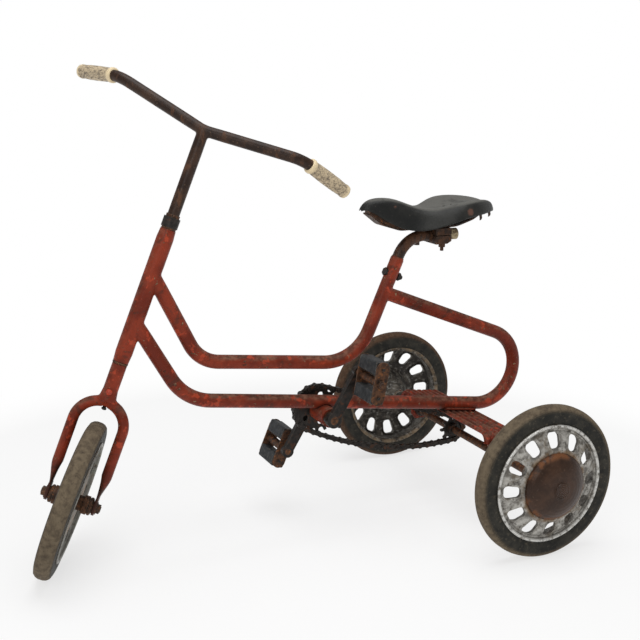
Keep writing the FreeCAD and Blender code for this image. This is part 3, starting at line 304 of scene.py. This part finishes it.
def wheel_metal(name, centre, outward, face_tint, inner_tint, polish):
    """Grey pressed metal: mottled and pitted outside, browner inside, with a bright worn rim."""
    s = Surface(name, metallic=0.5)
    dull_face, pit, stain = rgb(0.14, 0.13, 0.115), rgb(0.070, 0.062, 0.052), rgb(0.150, 0.115, 0.075)
    pale_back, scraped_back = rgb(0.090, 0.078, 0.062), rgb(0.26, 0.25, 0.225)
    bright_rim, brown_lip = rgb(0.64, 0.63, 0.60), rgb(0.22, 0.155, 0.090)
    rust_brown, shade = rgb(0.19, 0.10, 0.035), rgb(0.022, 0.017, 0.013)
    rim_start, rim_full = 0.0785, 0.0815

    outside = s.fade(s.facing(outward), -0.25, 0.25)
    face = s.mix(dull_face, face_tint, s.patches(0.010, 0.36, 0.64, detail=7, twist=0.5))
    pits = s.patches(0.0045, 0.55, 0.64, detail=7, shift=8.0)
    face = s.lay(face, pit, pits, 0.75)
    face = s.lay(face, stain, s.patches(0.018, 0.50, 0.64, detail=7, shift=3.0, twist=0.8), 0.55)
    back = s.mix(inner_tint, pale_back, s.patches(0.014, 0.42, 0.68, detail=6, shift=1.0))
    back = s.lay(back, scraped_back, s.patches(0.006, 0.50, 0.66, detail=8, shift=7.0), 0.7)
    colour = s.mix(back, face, outside)
    radius = s.radius(centre, outward)
    rim = s.fade(radius, rim_start, rim_full)
    shine = s.product(s.product(rim, outside), s.patches(0.006, 0.35, 0.55, detail=5, shift=5.0))
    colour = s.lay(colour, bright_rim, shine, polish)
    inner_rim = s.product(rim, s.inverse(outside))
    lip = s.product(inner_rim, s.patches(0.011, 0.35, 0.6, detail=5, shift=6.0))
    colour = s.lay(colour, brown_lip, lip, 0.7)
    near_cap = s.fade(radius, HUB_CAP_R + 0.007, HUB_CAP_R - 0.001)
    rust = s.product(near_cap, s.patches(0.015, 0.40, 0.56, detail=4, shift=4.0))
    colour = s.lay(colour, rust_brown, rust, s.product(outside, 0.85))
    colour = s.lay(colour, shade, s.crevice(0.008), 0.8)
    s.raise_by(s.noise(0.0016, 5), 0.00028)
    s.raise_by(s.noise(0.012, 3, shift=2.0), 0.0006)
    dull = s.sum(s.product(pits, 0.2), s.product(s.inverse(shine), 0.17))
    metallic = s.sum(0.1, s.product(outside, 0.5))
    return s.finish(colour, s.sum(0.36, dull), metallic=metallic, specular=0.25)


def hub_cap_metal(name, centre, outward):
    """Dark brown dome with turned rings on its button and an orange rust edge."""
    s = Surface(name, metallic=0.15)
    dark_brown, brown = rgb(0.028, 0.013, 0.007), rgb(0.052, 0.025, 0.014)
    orange, freckle, shade = rgb(0.22, 0.080, 0.026), rgb(0.13, 0.085, 0.06), rgb(0.012, 0.008, 0.007)
    ring_pitch = 0.0024
    button_r = 0.0135

    colour = s.mix(dark_brown, brown, s.patches(0.020, 0.35, 0.65, detail=6))
    radius = s.radius(centre, outward)
    rim = s.fade(radius, HUB_CAP_R - 0.008, HUB_CAP_R - 0.002)
    rust = s.product(rim, s.patches(0.024, 0.46, 0.6, detail=4, shift=2.0))
    colour = s.lay(colour, orange, rust, 0.6)
    freckles = s.patches(0.003, 0.62, 0.68, detail=6, shift=6.0)
    colour = s.lay(colour, freckle, freckles, 0.35)
    colour = s.lay(colour, shade, s.crevice(0.006), 0.7)
    rings = s.add("Math", {0: s.product(radius, 2 * math.pi / ring_pitch)}, operation="SINE")
    s.raise_by(s.product(rings, s.fade(radius, button_r, button_r - 0.001)), 0.0003)
    s.raise_by(s.noise(0.0016, 4), 0.0002)
    s.raise_by(s.noise(0.020, 3, shift=3.0), 0.0003)
    return s.finish(colour, s.sum(0.30, s.product(s.larger(rust, freckles), 0.35)), specular=0.25)


def tyre_rubber(name, centre, axis, worn_tint, dust_tint):
    """Old solid rubber: a dusty tan tread, darker sidewalls with one moulded ring."""
    s = Surface(name)
    black, dark_grey = rgb(0.012, 0.012, 0.010), rgb(0.034, 0.031, 0.024)
    dust_tan, stain, speck = rgb(0.14, 0.115, 0.080), rgb(0.045, 0.033, 0.024), rgb(0.020, 0.016, 0.013)
    ring_depth = 0.0065

    radius = s.radius(centre, axis)
    crown = s.fade(radius, TYRE_R - 0.010, TYRE_R - 0.003)
    wall = s.mix(black, dark_grey, s.patches(0.016, 0.35, 0.7, detail=6))
    tread = s.mix(worn_tint, dust_tint, s.patches(0.007, 0.30, 0.66, detail=8, twist=0.3))
    tread = s.lay(tread, stain, s.patches(0.030, 0.50, 0.72, detail=7, shift=4.0), 0.5)
    tread = s.lay(tread, speck, s.patches(0.0022, 0.62, 0.68, detail=4, shift=9.0), 0.6)
    colour = s.mix(wall, tread, crown)
    colour = s.lay(colour, dust_tan, s.patches(0.005, 0.55, 0.69, detail=7, shift=2.0), 0.35)
    off_ring = s.add("Math", {0: s.sum(radius, ring_depth - TYRE_R)}, operation="ABSOLUTE")
    s.raise_by(s.fade(off_ring, 0.0011, 0.0), 0.0006)
    s.raise_by(s.noise(0.0015, 6), 0.0004)
    s.raise_by(s.noise(0.010, 4, shift=1.0), 0.0006)
    return s.finish(colour, s.sum(0.60, s.product(crown, 0.27)), specular=0.18)


def pedal_rubber():
    """Blue-black rubber blocks, dusty and scuffed pale along their corners."""
    s = Surface("pedal_rubber")
    black, blue_black = rgb(0.014, 0.016, 0.018), rgb(0.040, 0.043, 0.045)
    dust, scuffed = rgb(0.14, 0.125, 0.10), rgb(0.19, 0.18, 0.16)

    colour = s.mix(black, blue_black, s.patches(0.009, 0.35, 0.68, detail=6))
    colour = s.lay(colour, dust, s.patches(0.004, 0.54, 0.69, detail=7, shift=3.0), 0.5)
    colour = s.lay(colour, scuffed, s.edges(0.0016), 0.5)
    s.raise_by(s.noise(0.0014, 5), 0.0003)
    return s.finish(colour, 0.6, specular=0.2)


def saddle_black():
    """Charcoal leathercloth with a fine grain, a painted grey sheen in patches on its top faces and two rubbed
    pink-brown spots.
    """
    s = Surface("saddle_black")
    black, charcoal, grey = rgb(0.009, 0.0095, 0.009), rgb(0.019, 0.019, 0.017), rgb(0.125, 0.122, 0.110)
    pink_brown, scuffed = rgb(0.15, 0.070, 0.048), rgb(0.060, 0.050, 0.042)
    low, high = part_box("saddle_cover")
    size = high - low

    colour = s.mix(black, charcoal, s.patches(0.03, 0.35, 0.65))
    # painted sheen: pale grey laid in patches on the faces that look up, standing in for light on the top
    bloom_and_top_sheen = s.product(s.fade(s.facing(Z), 0.70, 0.98), s.patches(0.02, 0.2, 0.5, detail=5, shift=2.0))
    colour = s.lay(colour, grey, bloom_and_top_sheen, 0.8)
    ragged = s.product(s.noise(0.004, 6, shift=5.0), 0.006)
    rubbed_spots = (((0.30, 0.98, 0.57), 0.0095), ((0.78, 0.65, 0.75), 0.0060))
    for share, reach in rubbed_spots:
        spot = low + Vector(share) * size
        worn = s.fade(s.sum(s.distance(spot), ragged), reach, reach - 0.0035)
        colour = s.lay(colour, pink_brown, worn, 0.6)
    colour = s.lay(colour, scuffed, s.patches(0.005, 0.64, 0.69, detail=8, shift=6.0), 0.5)
    s.raise_by(s.cells(0.0014), 0.00012)
    s.raise_by(s.noise(0.012, 3), 0.0004)
    return s.finish(colour, s.sum(0.38, s.product(bloom_and_top_sheen, 0.14)), specular=0.2)


def ivory_grip(name, bands):
    """Cream plastic, worn grey-brown in streaks, but clean within reach of each band's centre."""
    s = Surface(name)
    cream, tan = rgb(0.76, 0.63, 0.41), rgb(0.62, 0.49, 0.30)
    worn_cream, grime = rgb(0.50, 0.40, 0.26), rgb(0.150, 0.118, 0.088)

    clean = s.mix(cream, tan, s.noise(0.006))
    streaks = s.patches(0.0032, 0.42, 0.66, detail=8, stretch=(1.3, 2.6, 1.0), twist=1.2)
    body = s.mix(worn_cream, grime, streaks)
    band = None
    for centre, reach in bands:
        near = s.fade(s.distance(centre), reach + 0.0008, reach - 0.0008)
        band = near if band is None else s.larger(band, near)
    colour = s.mix(body, clean, band)
    s.raise_by(s.product(streaks, s.inverse(band)), 0.0004)
    s.raise_by(s.noise(0.0016, 4), 0.00012)
    return s.finish(colour, s.sum(0.42, s.product(streaks, 0.25)), specular=0.35)


def rivet_paint():
    """The rivet's brighter red, darker round its foot."""
    s = Surface("rivet_paint")
    bright_red, red, shade = rgb(0.42, 0.048, 0.020), rgb(0.27, 0.034, 0.016), rgb(0.035, 0.014, 0.010)

    colour = s.mix(bright_red, red, s.patches(0.004, 0.4, 0.6, detail=5))
    colour = s.lay(colour, shade, s.crevice(0.003), 0.9)
    s.raise_by(s.noise(0.0016, 3), 0.0002)
    return s.finish(colour, 0.34, specular=0.3)


def wheel_materials():
    """The metal, caps and rubber of each wheel, whose rings are about its own axle."""
    # face tint, inner tint and how far the rim is polished
    bright_metal = (rgb(0.45, 0.435, 0.40), rgb(0.026, 0.022, 0.018), 0.85)
    dull_metal = (rgb(0.155, 0.155, 0.130), rgb(0.085, 0.085, 0.072), 0.15)
    metals = {"left": bright_metal, "right": bright_metal, "front": dull_metal}
    # worn tint and dust tint
    tan_tread = (rgb(0.082, 0.062, 0.042), rgb(0.150, 0.116, 0.076))
    brown_tread = (rgb(0.050, 0.027, 0.016), rgb(0.085, 0.048, 0.028))
    treads = {"left": tan_tread, "right": brown_tread, "front": tan_tread}
    materials = {}
    for wheel, (centre, outward) in WHEELS.items():
        materials["grey_metal", wheel] = wheel_metal(wheel + "_metal", centre, outward, *metals[wheel])
        materials["cap_brown", wheel] = hub_cap_metal(wheel + "_cap_metal", centre, outward)
        materials["tyre", wheel] = tyre_rubber(wheel + "_rubber", centre, outward, *treads[wheel])
    return materials


def all_materials():
    """Materials by slot, or by slot and the first word of the node's name."""
    materials = wheel_materials()
    for make in (red_paint, black_iron, pedal_rubber, saddle_black):
        materials[make.__name__] = make()
    post_end = end_centre("seat_post", X, 0.5 * MM)
    materials["dark_steel"] = japanned("dark_steel", rubbing=0.05)
    materials["dark_steel", "seat"] = japanned("post_steel", rubbing=0.16, pale_end=post_end)
    materials["rusty_steel"] = rusted("rusty_steel")
    materials["rusty_steel", "saddle"] = rusted("saddle_steel", share=0.3)
    materials["rusty_steel", "clamp"] = materials["rusty_steel", "saddle"]
    materials["ivory_grip"] = ivory_grip("grip_plastic", [(middle("left_grip"), 0.0)])
    return materials


# ---------------------------------------------------------------- dressing the CAD nodes
def set_material(piece, material):
    piece.data.materials.clear()
    piece.data.materials.append(material)
    piece.data.polygons.foreach_set("material_index", [0] * len(piece.data.polygons))


def dress_nodes(materials):
    """Each node takes its slot's material, or its own group's: the first word of its name."""
    for name, node in NODES.items():
        slot = SLOTS[name]
        group = name.split("_")[0]
        set_material(node, materials.get((slot, group)) or materials[slot])


# ---------------------------------------------------------------- making pieces
def new_piece(name, data):
    piece = bpy.data.objects.new(name, data)
    bpy.context.scene.collection.objects.link(piece)
    return piece


def built(name, bm):
    """A piece made of a finished bmesh."""
    mesh = bpy.data.meshes.new(name)
    bm.to_mesh(mesh)
    bm.free()
    return new_piece(name, mesh)


def apply_modifiers(piece):
    graph = bpy.context.evaluated_depsgraph_get()
    mesh = bpy.data.meshes.new_from_object(piece.evaluated_get(graph))
    piece.modifiers.clear()
    piece.data = mesh


def add_skin(piece, voxel):
    remesh = piece.modifiers.new("skin", "REMESH")
    remesh.mode = "VOXEL"
    remesh.voxel_size = voxel


def add_bar(bm, start, end, radius, sides=48):
    """Add a capped round bar to a bmesh."""
    run = end - start
    turn = run.to_track_quat("Z", "Y").to_matrix().to_4x4()
    place = Matrix.Translation((start + end) / 2) @ turn
    bmesh.ops.create_cone(bm, cap_ends=True, segments=sides, radius1=radius, radius2=radius,
                          depth=run.length, matrix=place)


def drill(piece, start, end, radius):
    """Cut a round hole through a piece."""
    bm = bmesh.new()
    add_bar(bm, start, end, radius)
    cutter = built(piece.name + "_cutter", bm)
    cut = piece.modifiers.new("hole", "BOOLEAN")
    cut.operation = "DIFFERENCE"
    cut.object = cutter
    apply_modifiers(piece)
    bpy.data.objects.remove(cutter)


def bridge(bm, rings):
    """Faces from each ring of vertices to the next, and one over each end."""
    for first, second in zip(rings, rings[1:]):
        for k in range(len(first)):
            after = (k + 1) % len(first)
            bm.faces.new((first[k], first[after], second[after], second[k]))
    bm.faces.new(rings[0][::-1])
    bm.faces.new(rings[-1])


def lathe(name, start, axis, profile, sides=56):
    """A turned piece: profile is (distance along the axis, radius) from end to end."""
    turn = axis.to_track_quat("Z", "Y")
    bm = bmesh.new()
    rings = []
    for distance, radius in profile:
        ring = []
        for k in range(sides):
            a = 2 * math.pi * k / sides
            spoke = turn @ Vector((math.cos(a) * radius, math.sin(a) * radius, distance))
            ring.append(bm.verts.new(start + spoke))
        rings.append(ring)
    bridge(bm, rings)
    piece = built(name, bm)
    piece.data.shade_smooth()
    return piece


def bent_strip(name, loops):
    """A bent metal strip through loops of (centre, half width, half thickness), its edges rounded."""
    corners = ((-1, -1), (1, -1), (1, 1), (-1, 1))
    bm = bmesh.new()
    rings = [[bm.verts.new(centre + wide * a + deep * b) for a, b in corners]
             for centre, wide, deep in loops]
    bridge(bm, rings)
    bmesh.ops.recalc_face_normals(bm, faces=bm.faces)
    piece = built(name, bm)
    rounded = piece.modifiers.new("rounded", "BEVEL")
    rounded.width = 0.3 * MM
    rounded.segments = 2
    apply_modifiers(piece)
    return piece


# ---------------------------------------------------------------- brazed tubes
def melded(name, members, voxel, meet_weight, bores=(), fills=()):
    """One skin over nodes that are brazed together, its inner corners rounded, its bores cut afresh.

    Each bore or fill is (start, end, radius); a bore is first filled a little past its own wall.
    """
    over_wall = 0.6 * MM
    corner_steps = 40
    bm = bmesh.new()
    for member in members:
        bm.from_mesh(NODES[member].data)
    for start, end, radius in bores:
        add_bar(bm, start, end, radius + over_wall)
    for start, end, radius in fills:
        add_bar(bm, start, end, radius)
    piece = built(name, bm)
    add_skin(piece, voxel)
    apply_modifiers(piece)
    group = piece.vertex_groups.new(name="corner")
    for vertex in piece.data.vertices:
        group.add([vertex.index], meet_weight(vertex.co), "REPLACE")
    corners = piece.modifiers.new("corners", "SMOOTH")
    corners.vertex_group = "corner"
    corners.iterations = corner_steps
    apply_modifiers(piece)
    for start, end, radius in bores:
        past_end = (end - start) * 0.02
        drill(piece, start - past_end, end + past_end, radius)
    piece.data.shade_smooth()
    return piece


def meeting(members, reach):
    """A weight that is 1 where two of the nodes touch and 0 a little way off."""
    trees = []
    for member in members:
        data = NODES[member].data
        points = [v.co for v in data.vertices]
        trees.append(BVHTree.FromPolygons(points, [p.vertices for p in data.polygons]))

    def weight(point):
        distances = sorted(tree.find_nearest(point)[3] for tree in trees)
        return max(0.0, min(1.0, 1.25 - distances[1] / reach))

    return weight


def make_frame_tubes(material):
    """Head, upper and lower tube as one; the post's bore is deep enough for its lowest place."""
    head_bore_r, post_bore_r = 9.36 * MM, 8.6 * MM
    below_foot, above_seat = 0.5 * MM, 3 * MM
    head_low, head_high = along("head_tube", STEER_AXIS)
    head_bore = (ON_STEERING + STEER_AXIS * head_low, ON_STEERING + STEER_AXIS * head_high, head_bore_r)
    lowered = SEAT_AXIS * (JOINTS["seat_height"]["range_m"][0] - below_foot)
    post_foot = end_centre("seat_post", SEAT_AXIS) + lowered
    _, seat_top = along("upper_tube", SEAT_AXIS)
    post_top = post_foot + SEAT_AXIS * (seat_top - post_foot.dot(SEAT_AXIS) + above_seat)
    members = ("head_tube", "upper_tube", "lower_tube")
    piece = melded("frame_tubes", members, 1.1 * MM, meeting(members, 9 * MM),
                   bores=[head_bore, (post_foot, post_top, post_bore_r)])
    set_material(piece, material)
    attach(piece, "frame")
    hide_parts(*members)


def make_fork_skin(material):
    """The fork brazed to its sleeve, which is filled so that its thin wall keeps its shape."""
    fill_r = 10.0 * MM
    members = ("fork", "crown_sleeve")
    low, high = along("crown_sleeve", STEER_AXIS)
    sleeve = (ON_STEERING + STEER_AXIS * low, ON_STEERING + STEER_AXIS * high, fill_r)
    piece = melded("fork_skin", members, 0.9 * MM, meeting(members, 9 * MM), fills=[sleeve])
    set_material(piece, material)
    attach(piece, "steering")
    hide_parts(*members)


def make_bar_skin(material):
    """The handlebar with a web of metal drawn out where the stem meets it."""
    stem_core, below_top, web_reach = 4 * MM, 9 * MM, 17 * MM
    highest = max(v.co.dot(STEER_AXIS) for v in NODES["handlebar"].data.vertices
                  if (v.co - ON_STEERING).cross(STEER_AXIS).length < stem_core)
    joint = ON_STEERING + STEER_AXIS * (highest - below_top)

    def weight(point):
        return max(0.0, min(1.0, 1.6 - (point - joint).length / web_reach))

    piece = melded("bar_skin", ["handlebar"], 0.9 * MM, weight)
    set_material(piece, material)
    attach(piece, "handlebar")
    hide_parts("handlebar")


# ---------------------------------------------------------------- grips, rivet and bolt
def in_metres(profile):
    return [(distance * MM, radius * MM) for distance, radius in profile]


def grip_line(node):
    """A grip's outer end, its direction inwards along the bar, and its length."""
    points = [v.co for v in NODES[node].data.vertices]
    centre = sum(points, Vector()) / len(points)
    far = max(points, key=lambda p: (p - centre).length)
    axis = (far - centre).normalized()
    # each round turns the axis towards the points' longest spread
    for _ in range(30):
        axis = sum(((p - centre) * (p - centre).dot(axis) for p in points), Vector()).normalized()
    if axis.dot(centre - middle("steerer_tube")) < 0:
        axis = -axis
    reach = max((p - centre).dot(axis) for p in points)
    length = reach - min((p - centre).dot(axis) for p in points)
    return centre + axis * reach, -axis, length


def make_grips():
    """Each grip, turned with a knob outside and a collar inside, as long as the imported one."""
    profile = [(0.0, 5.5), (0.6, 7.6), (2.0, 9.2), (4.6, 9.7), (7.0, 9.5), (7.8, 8.9), (9.0, 9.1),
               (22.0, 9.9), (40.0, 10.0), (56.0, 9.6), (63.4, 9.2), (64.4, 9.8), (65.4, 10.4),
               (68.2, 10.4), (69.4, 9.9), (70.0, 8.2)]
    outer_band, inner_band = 0.0113, 0.0118
    for node in ("left_grip", "right_grip"):
        start, inward, length = grip_line(node)
        scale = length / (profile[-1][0] * MM)
        piece = lathe(node + "_skin", start, inward, [(d * MM * scale, r * MM) for d, r in profile])
        bands = [(start, outer_band), (start + inward * length, inner_band)]
        set_material(piece, ivory_grip(node + "_plastic", bands))
        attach(piece, "handlebar")
        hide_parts(node)


def make_crown_rivet(material):
    """The domed rivet that pins the crown, on the front of the sleeve above the fork."""
    above_axle = 0.1563
    ahead_mm = 8.6
    ahead = -STEER_AXIS.cross(FRONT_SPIN)
    foot = FRONT_AXLE + STEER_AXIS * above_axle + ahead * ahead_mm * MM
    profile = [(0.0, 4.3), (1.9, 4.3), (3.0, 4.0), (3.9, 3.2), (4.5, 2.0), (4.8, 0.8)]
    piece = lathe("crown_rivet", foot, ahead, in_metres(profile), sides=32)
    set_material(piece, material)
    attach(piece, "steering")


def make_crown_bolt(material):
    """The small hexagonal head of the bolt under the crown."""
    low, _ = along("crown_bolt", STEER_AXIS)
    profile = [(1.2, 2.2), (1.8, 3.4), (4.0, 3.6), (4.4, 2.4), (7.5, 2.4)]
    foot = ON_STEERING + STEER_AXIS * low
    piece = lathe("crown_bolt_head", foot, STEER_AXIS, in_metres(profile), sides=6)
    set_material(piece, material)
    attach(piece, "steering")
    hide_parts("crown_bolt")


# ---------------------------------------------------------------- saddle
def fit_to_saddle(piece, material):
    set_material(piece, material)
    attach(piece, "saddle")


def make_tail_tabs(material):
    """Two bent steel tongues that hold the cover down under the saddle's left rear edge."""
    low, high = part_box("saddle_cover")
    outwards = Vector((-0.45, 0.89, 0)).normalized()
    across = outwards.cross(Z)
    # drop, out, half width and half thickness of each bend, in mm
    bends = ((-4.0, -1.2, 2.6, 1.0), (0.0, 0.0, 2.6, 1.0), (3.6, 0.7, 2.3, 1.0), (5.8, 0.3, 1.8, 0.9),
             (7.2, -0.8, 0.9, 0.6))
    for name, share in (("tail_tab", (0.209, 0.935, 0.43)), ("end_tab", (0.095, 0.80, 0.47))):
        top = low + Vector(share) * (high - low)
        loops = [(top + (outwards * out - Z * drop) * MM, across * half * MM, outwards * thick * MM)
                 for drop, out, half, thick in bends]
        fit_to_saddle(bent_strip(name, loops), material)


def make_nose_bracket(material):
    """The folded bracket between the strap and the cover's nose."""
    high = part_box("saddle_strap")[1]
    nose = Vector((high.x, 0, high.z))
    # along X, up, half width and half thickness of each bend, in mm
    bends = ((-1.0, 1.5, 8.0, 2.0), (-8.0, -1.5, 9.5, 4.0), (-18.0, -6.5, 10.5, 6.0),
             (-32.0, -12.5, 11.5, 7.8), (-46.0, -17.5, 11.5, 8.0), (-60.0, -21.0, 10.0, 5.0))
    loops = [(nose + Vector((along_x, 0, up)) * MM, Y * half * MM, Z * deep * MM)
             for along_x, up, half, deep in bends]
    fit_to_saddle(bent_strip("nose_bracket", loops), material)


def make_saddle(material):
    """The saddle's shell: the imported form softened, its tail turned down, with its vent holes."""
    soften_steps = 14
    tail_share, tail_drop = 0.22, 3.5 * MM
    vents = ((0.36, 2.3 * MM), (0.30, 1.9 * MM))
    piece = new_piece("saddle_skin", NODES["saddle_cover"].data.copy())
    add_skin(piece, 1.0 * MM)
    soften = piece.modifiers.new("soften", "SMOOTH")
    soften.iterations = soften_steps
    apply_modifiers(piece)
    low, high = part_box("saddle_cover")
    bend_x = low.x + (high.x - low.x) * tail_share
    for vertex in piece.data.vertices:
        past = max(0.0, (bend_x - vertex.co.x) / (bend_x - low.x))
        vertex.co.z -= tail_drop * past ** 2 * (vertex.co.z - low.z) / (high.z - low.z)
    for share, radius in vents:
        x = low.x + (high.x - low.x) * share
        drill(piece, Vector((x, 0, low.z)), Vector((x, 0, high.z + 0.01)), radius)
    piece.data.shade_smooth()
    set_material(piece, material)
    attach(piece, "saddle")
    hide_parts("saddle_cover")


# ---------------------------------------------------------------- studio
def make_floor():
    """A pale floor that is lit near the tricycle and goes to plain white further out."""
    under_tricycle = Vector((0.25, 0, 0))
    glow_from, glow_to = 0.35, 0.9
    least_glow = 0.68
    half_side = 40.0
    bm = bmesh.new()
    bmesh.ops.create_grid(bm, x_segments=1, y_segments=1, size=half_side)
    floor = built("floor", bm)
    s = Surface("floor")
    tone = s.mix(rgb(0.90, 0.90, 0.90), rgb(0.88, 0.88, 0.88), s.noise(0.4))
    white = s.add("Emission", {"Color": rgb(1, 1, 1), "Strength": 1.0})
    glow = s.larger(s.fade(s.distance(under_tricycle), glow_from, glow_to), least_glow)
    s.finish(tone, 0.9, specular=0.1)
    blend = s.add("MixShader", {0: glow, 1: s.shader.outputs[0], 2: white})
    s.links.new(blend, s.nodes["Material Output"].inputs["Surface"])
    set_material(floor, s.material)


def area_light(name, place, target, size, power):
    data = bpy.data.lights.new(name, "AREA")
    data.shape = "SQUARE"
    data.size = size
    data.energy = power
    light = new_piece(name, data)
    light.location = place
    light.rotation_euler = (Vector(target) - Vector(place)).to_track_quat("-Z", "Y").to_euler()


def make_studio():
    """Two soft lights, and a world that is white to the camera and dimmer as light."""
    world_light = 0.48
    scene = bpy.context.scene
    world = bpy.data.worlds.new("studio")
    world.use_nodes = True
    nodes, links = world.node_tree.nodes, world.node_tree.links
    seen, lit = nodes["Background"], nodes.new("ShaderNodeBackground")
    seen.inputs["Color"].default_value = rgb(1, 1, 1)
    lit.inputs["Color"].default_value = rgb(1, 1, 1)
    lit.inputs["Strength"].default_value = world_light
    ray, blend = nodes.new("ShaderNodeLightPath"), nodes.new("ShaderNodeMixShader")
    links.new(ray.outputs["Is Camera Ray"], blend.inputs[0])
    links.new(lit.outputs[0], blend.inputs[1])
    links.new(seen.outputs[0], blend.inputs[2])
    links.new(blend.outputs[0], nodes["World Output"].inputs["Surface"])
    scene.world = world
    area_light("overhead", (0.3, 0.3, 2.2), (0.25, 0, 0.2), size=1.6, power=26)
    area_light("camera_side", (1.6, 1.8, 1.5), (0.25, 0, 0.25), size=1.2, power=12)
    scene.view_settings.view_transform = "Standard"


def make_camera():
    """The photo's camera, solved from the outlines of the wheels and the runs of the tubes."""
    looking = Vector((-0.4075, -0.8823, -0.2355))
    data = bpy.data.cameras.new("camera")
    data.lens = 61.98
    data.sensor_width = 36.0
    camera = new_piece("camera", data)
    camera.rotation_mode = "QUATERNION"
    camera.location = (0.88317, 1.39236, 0.68677)
    camera.rotation_quaternion = looking.to_track_quat("-Z", "Y")
    bpy.context.scene.camera = camera


def main():
    materials = all_materials()
    dress_nodes(materials)
    make_frame_tubes(materials["red_paint"])
    make_fork_skin(materials["red_paint"])
    make_bar_skin(materials["dark_steel"])
    make_grips()
    make_crown_rivet(rivet_paint())
    make_crown_bolt(materials["black_iron"])
    make_tail_tabs(materials["rusty_steel", "saddle"])
    make_nose_bracket(materials["rusty_steel"])
    make_saddle(materials["saddle_black"])
    make_floor()
    make_studio()
    make_camera()


main()
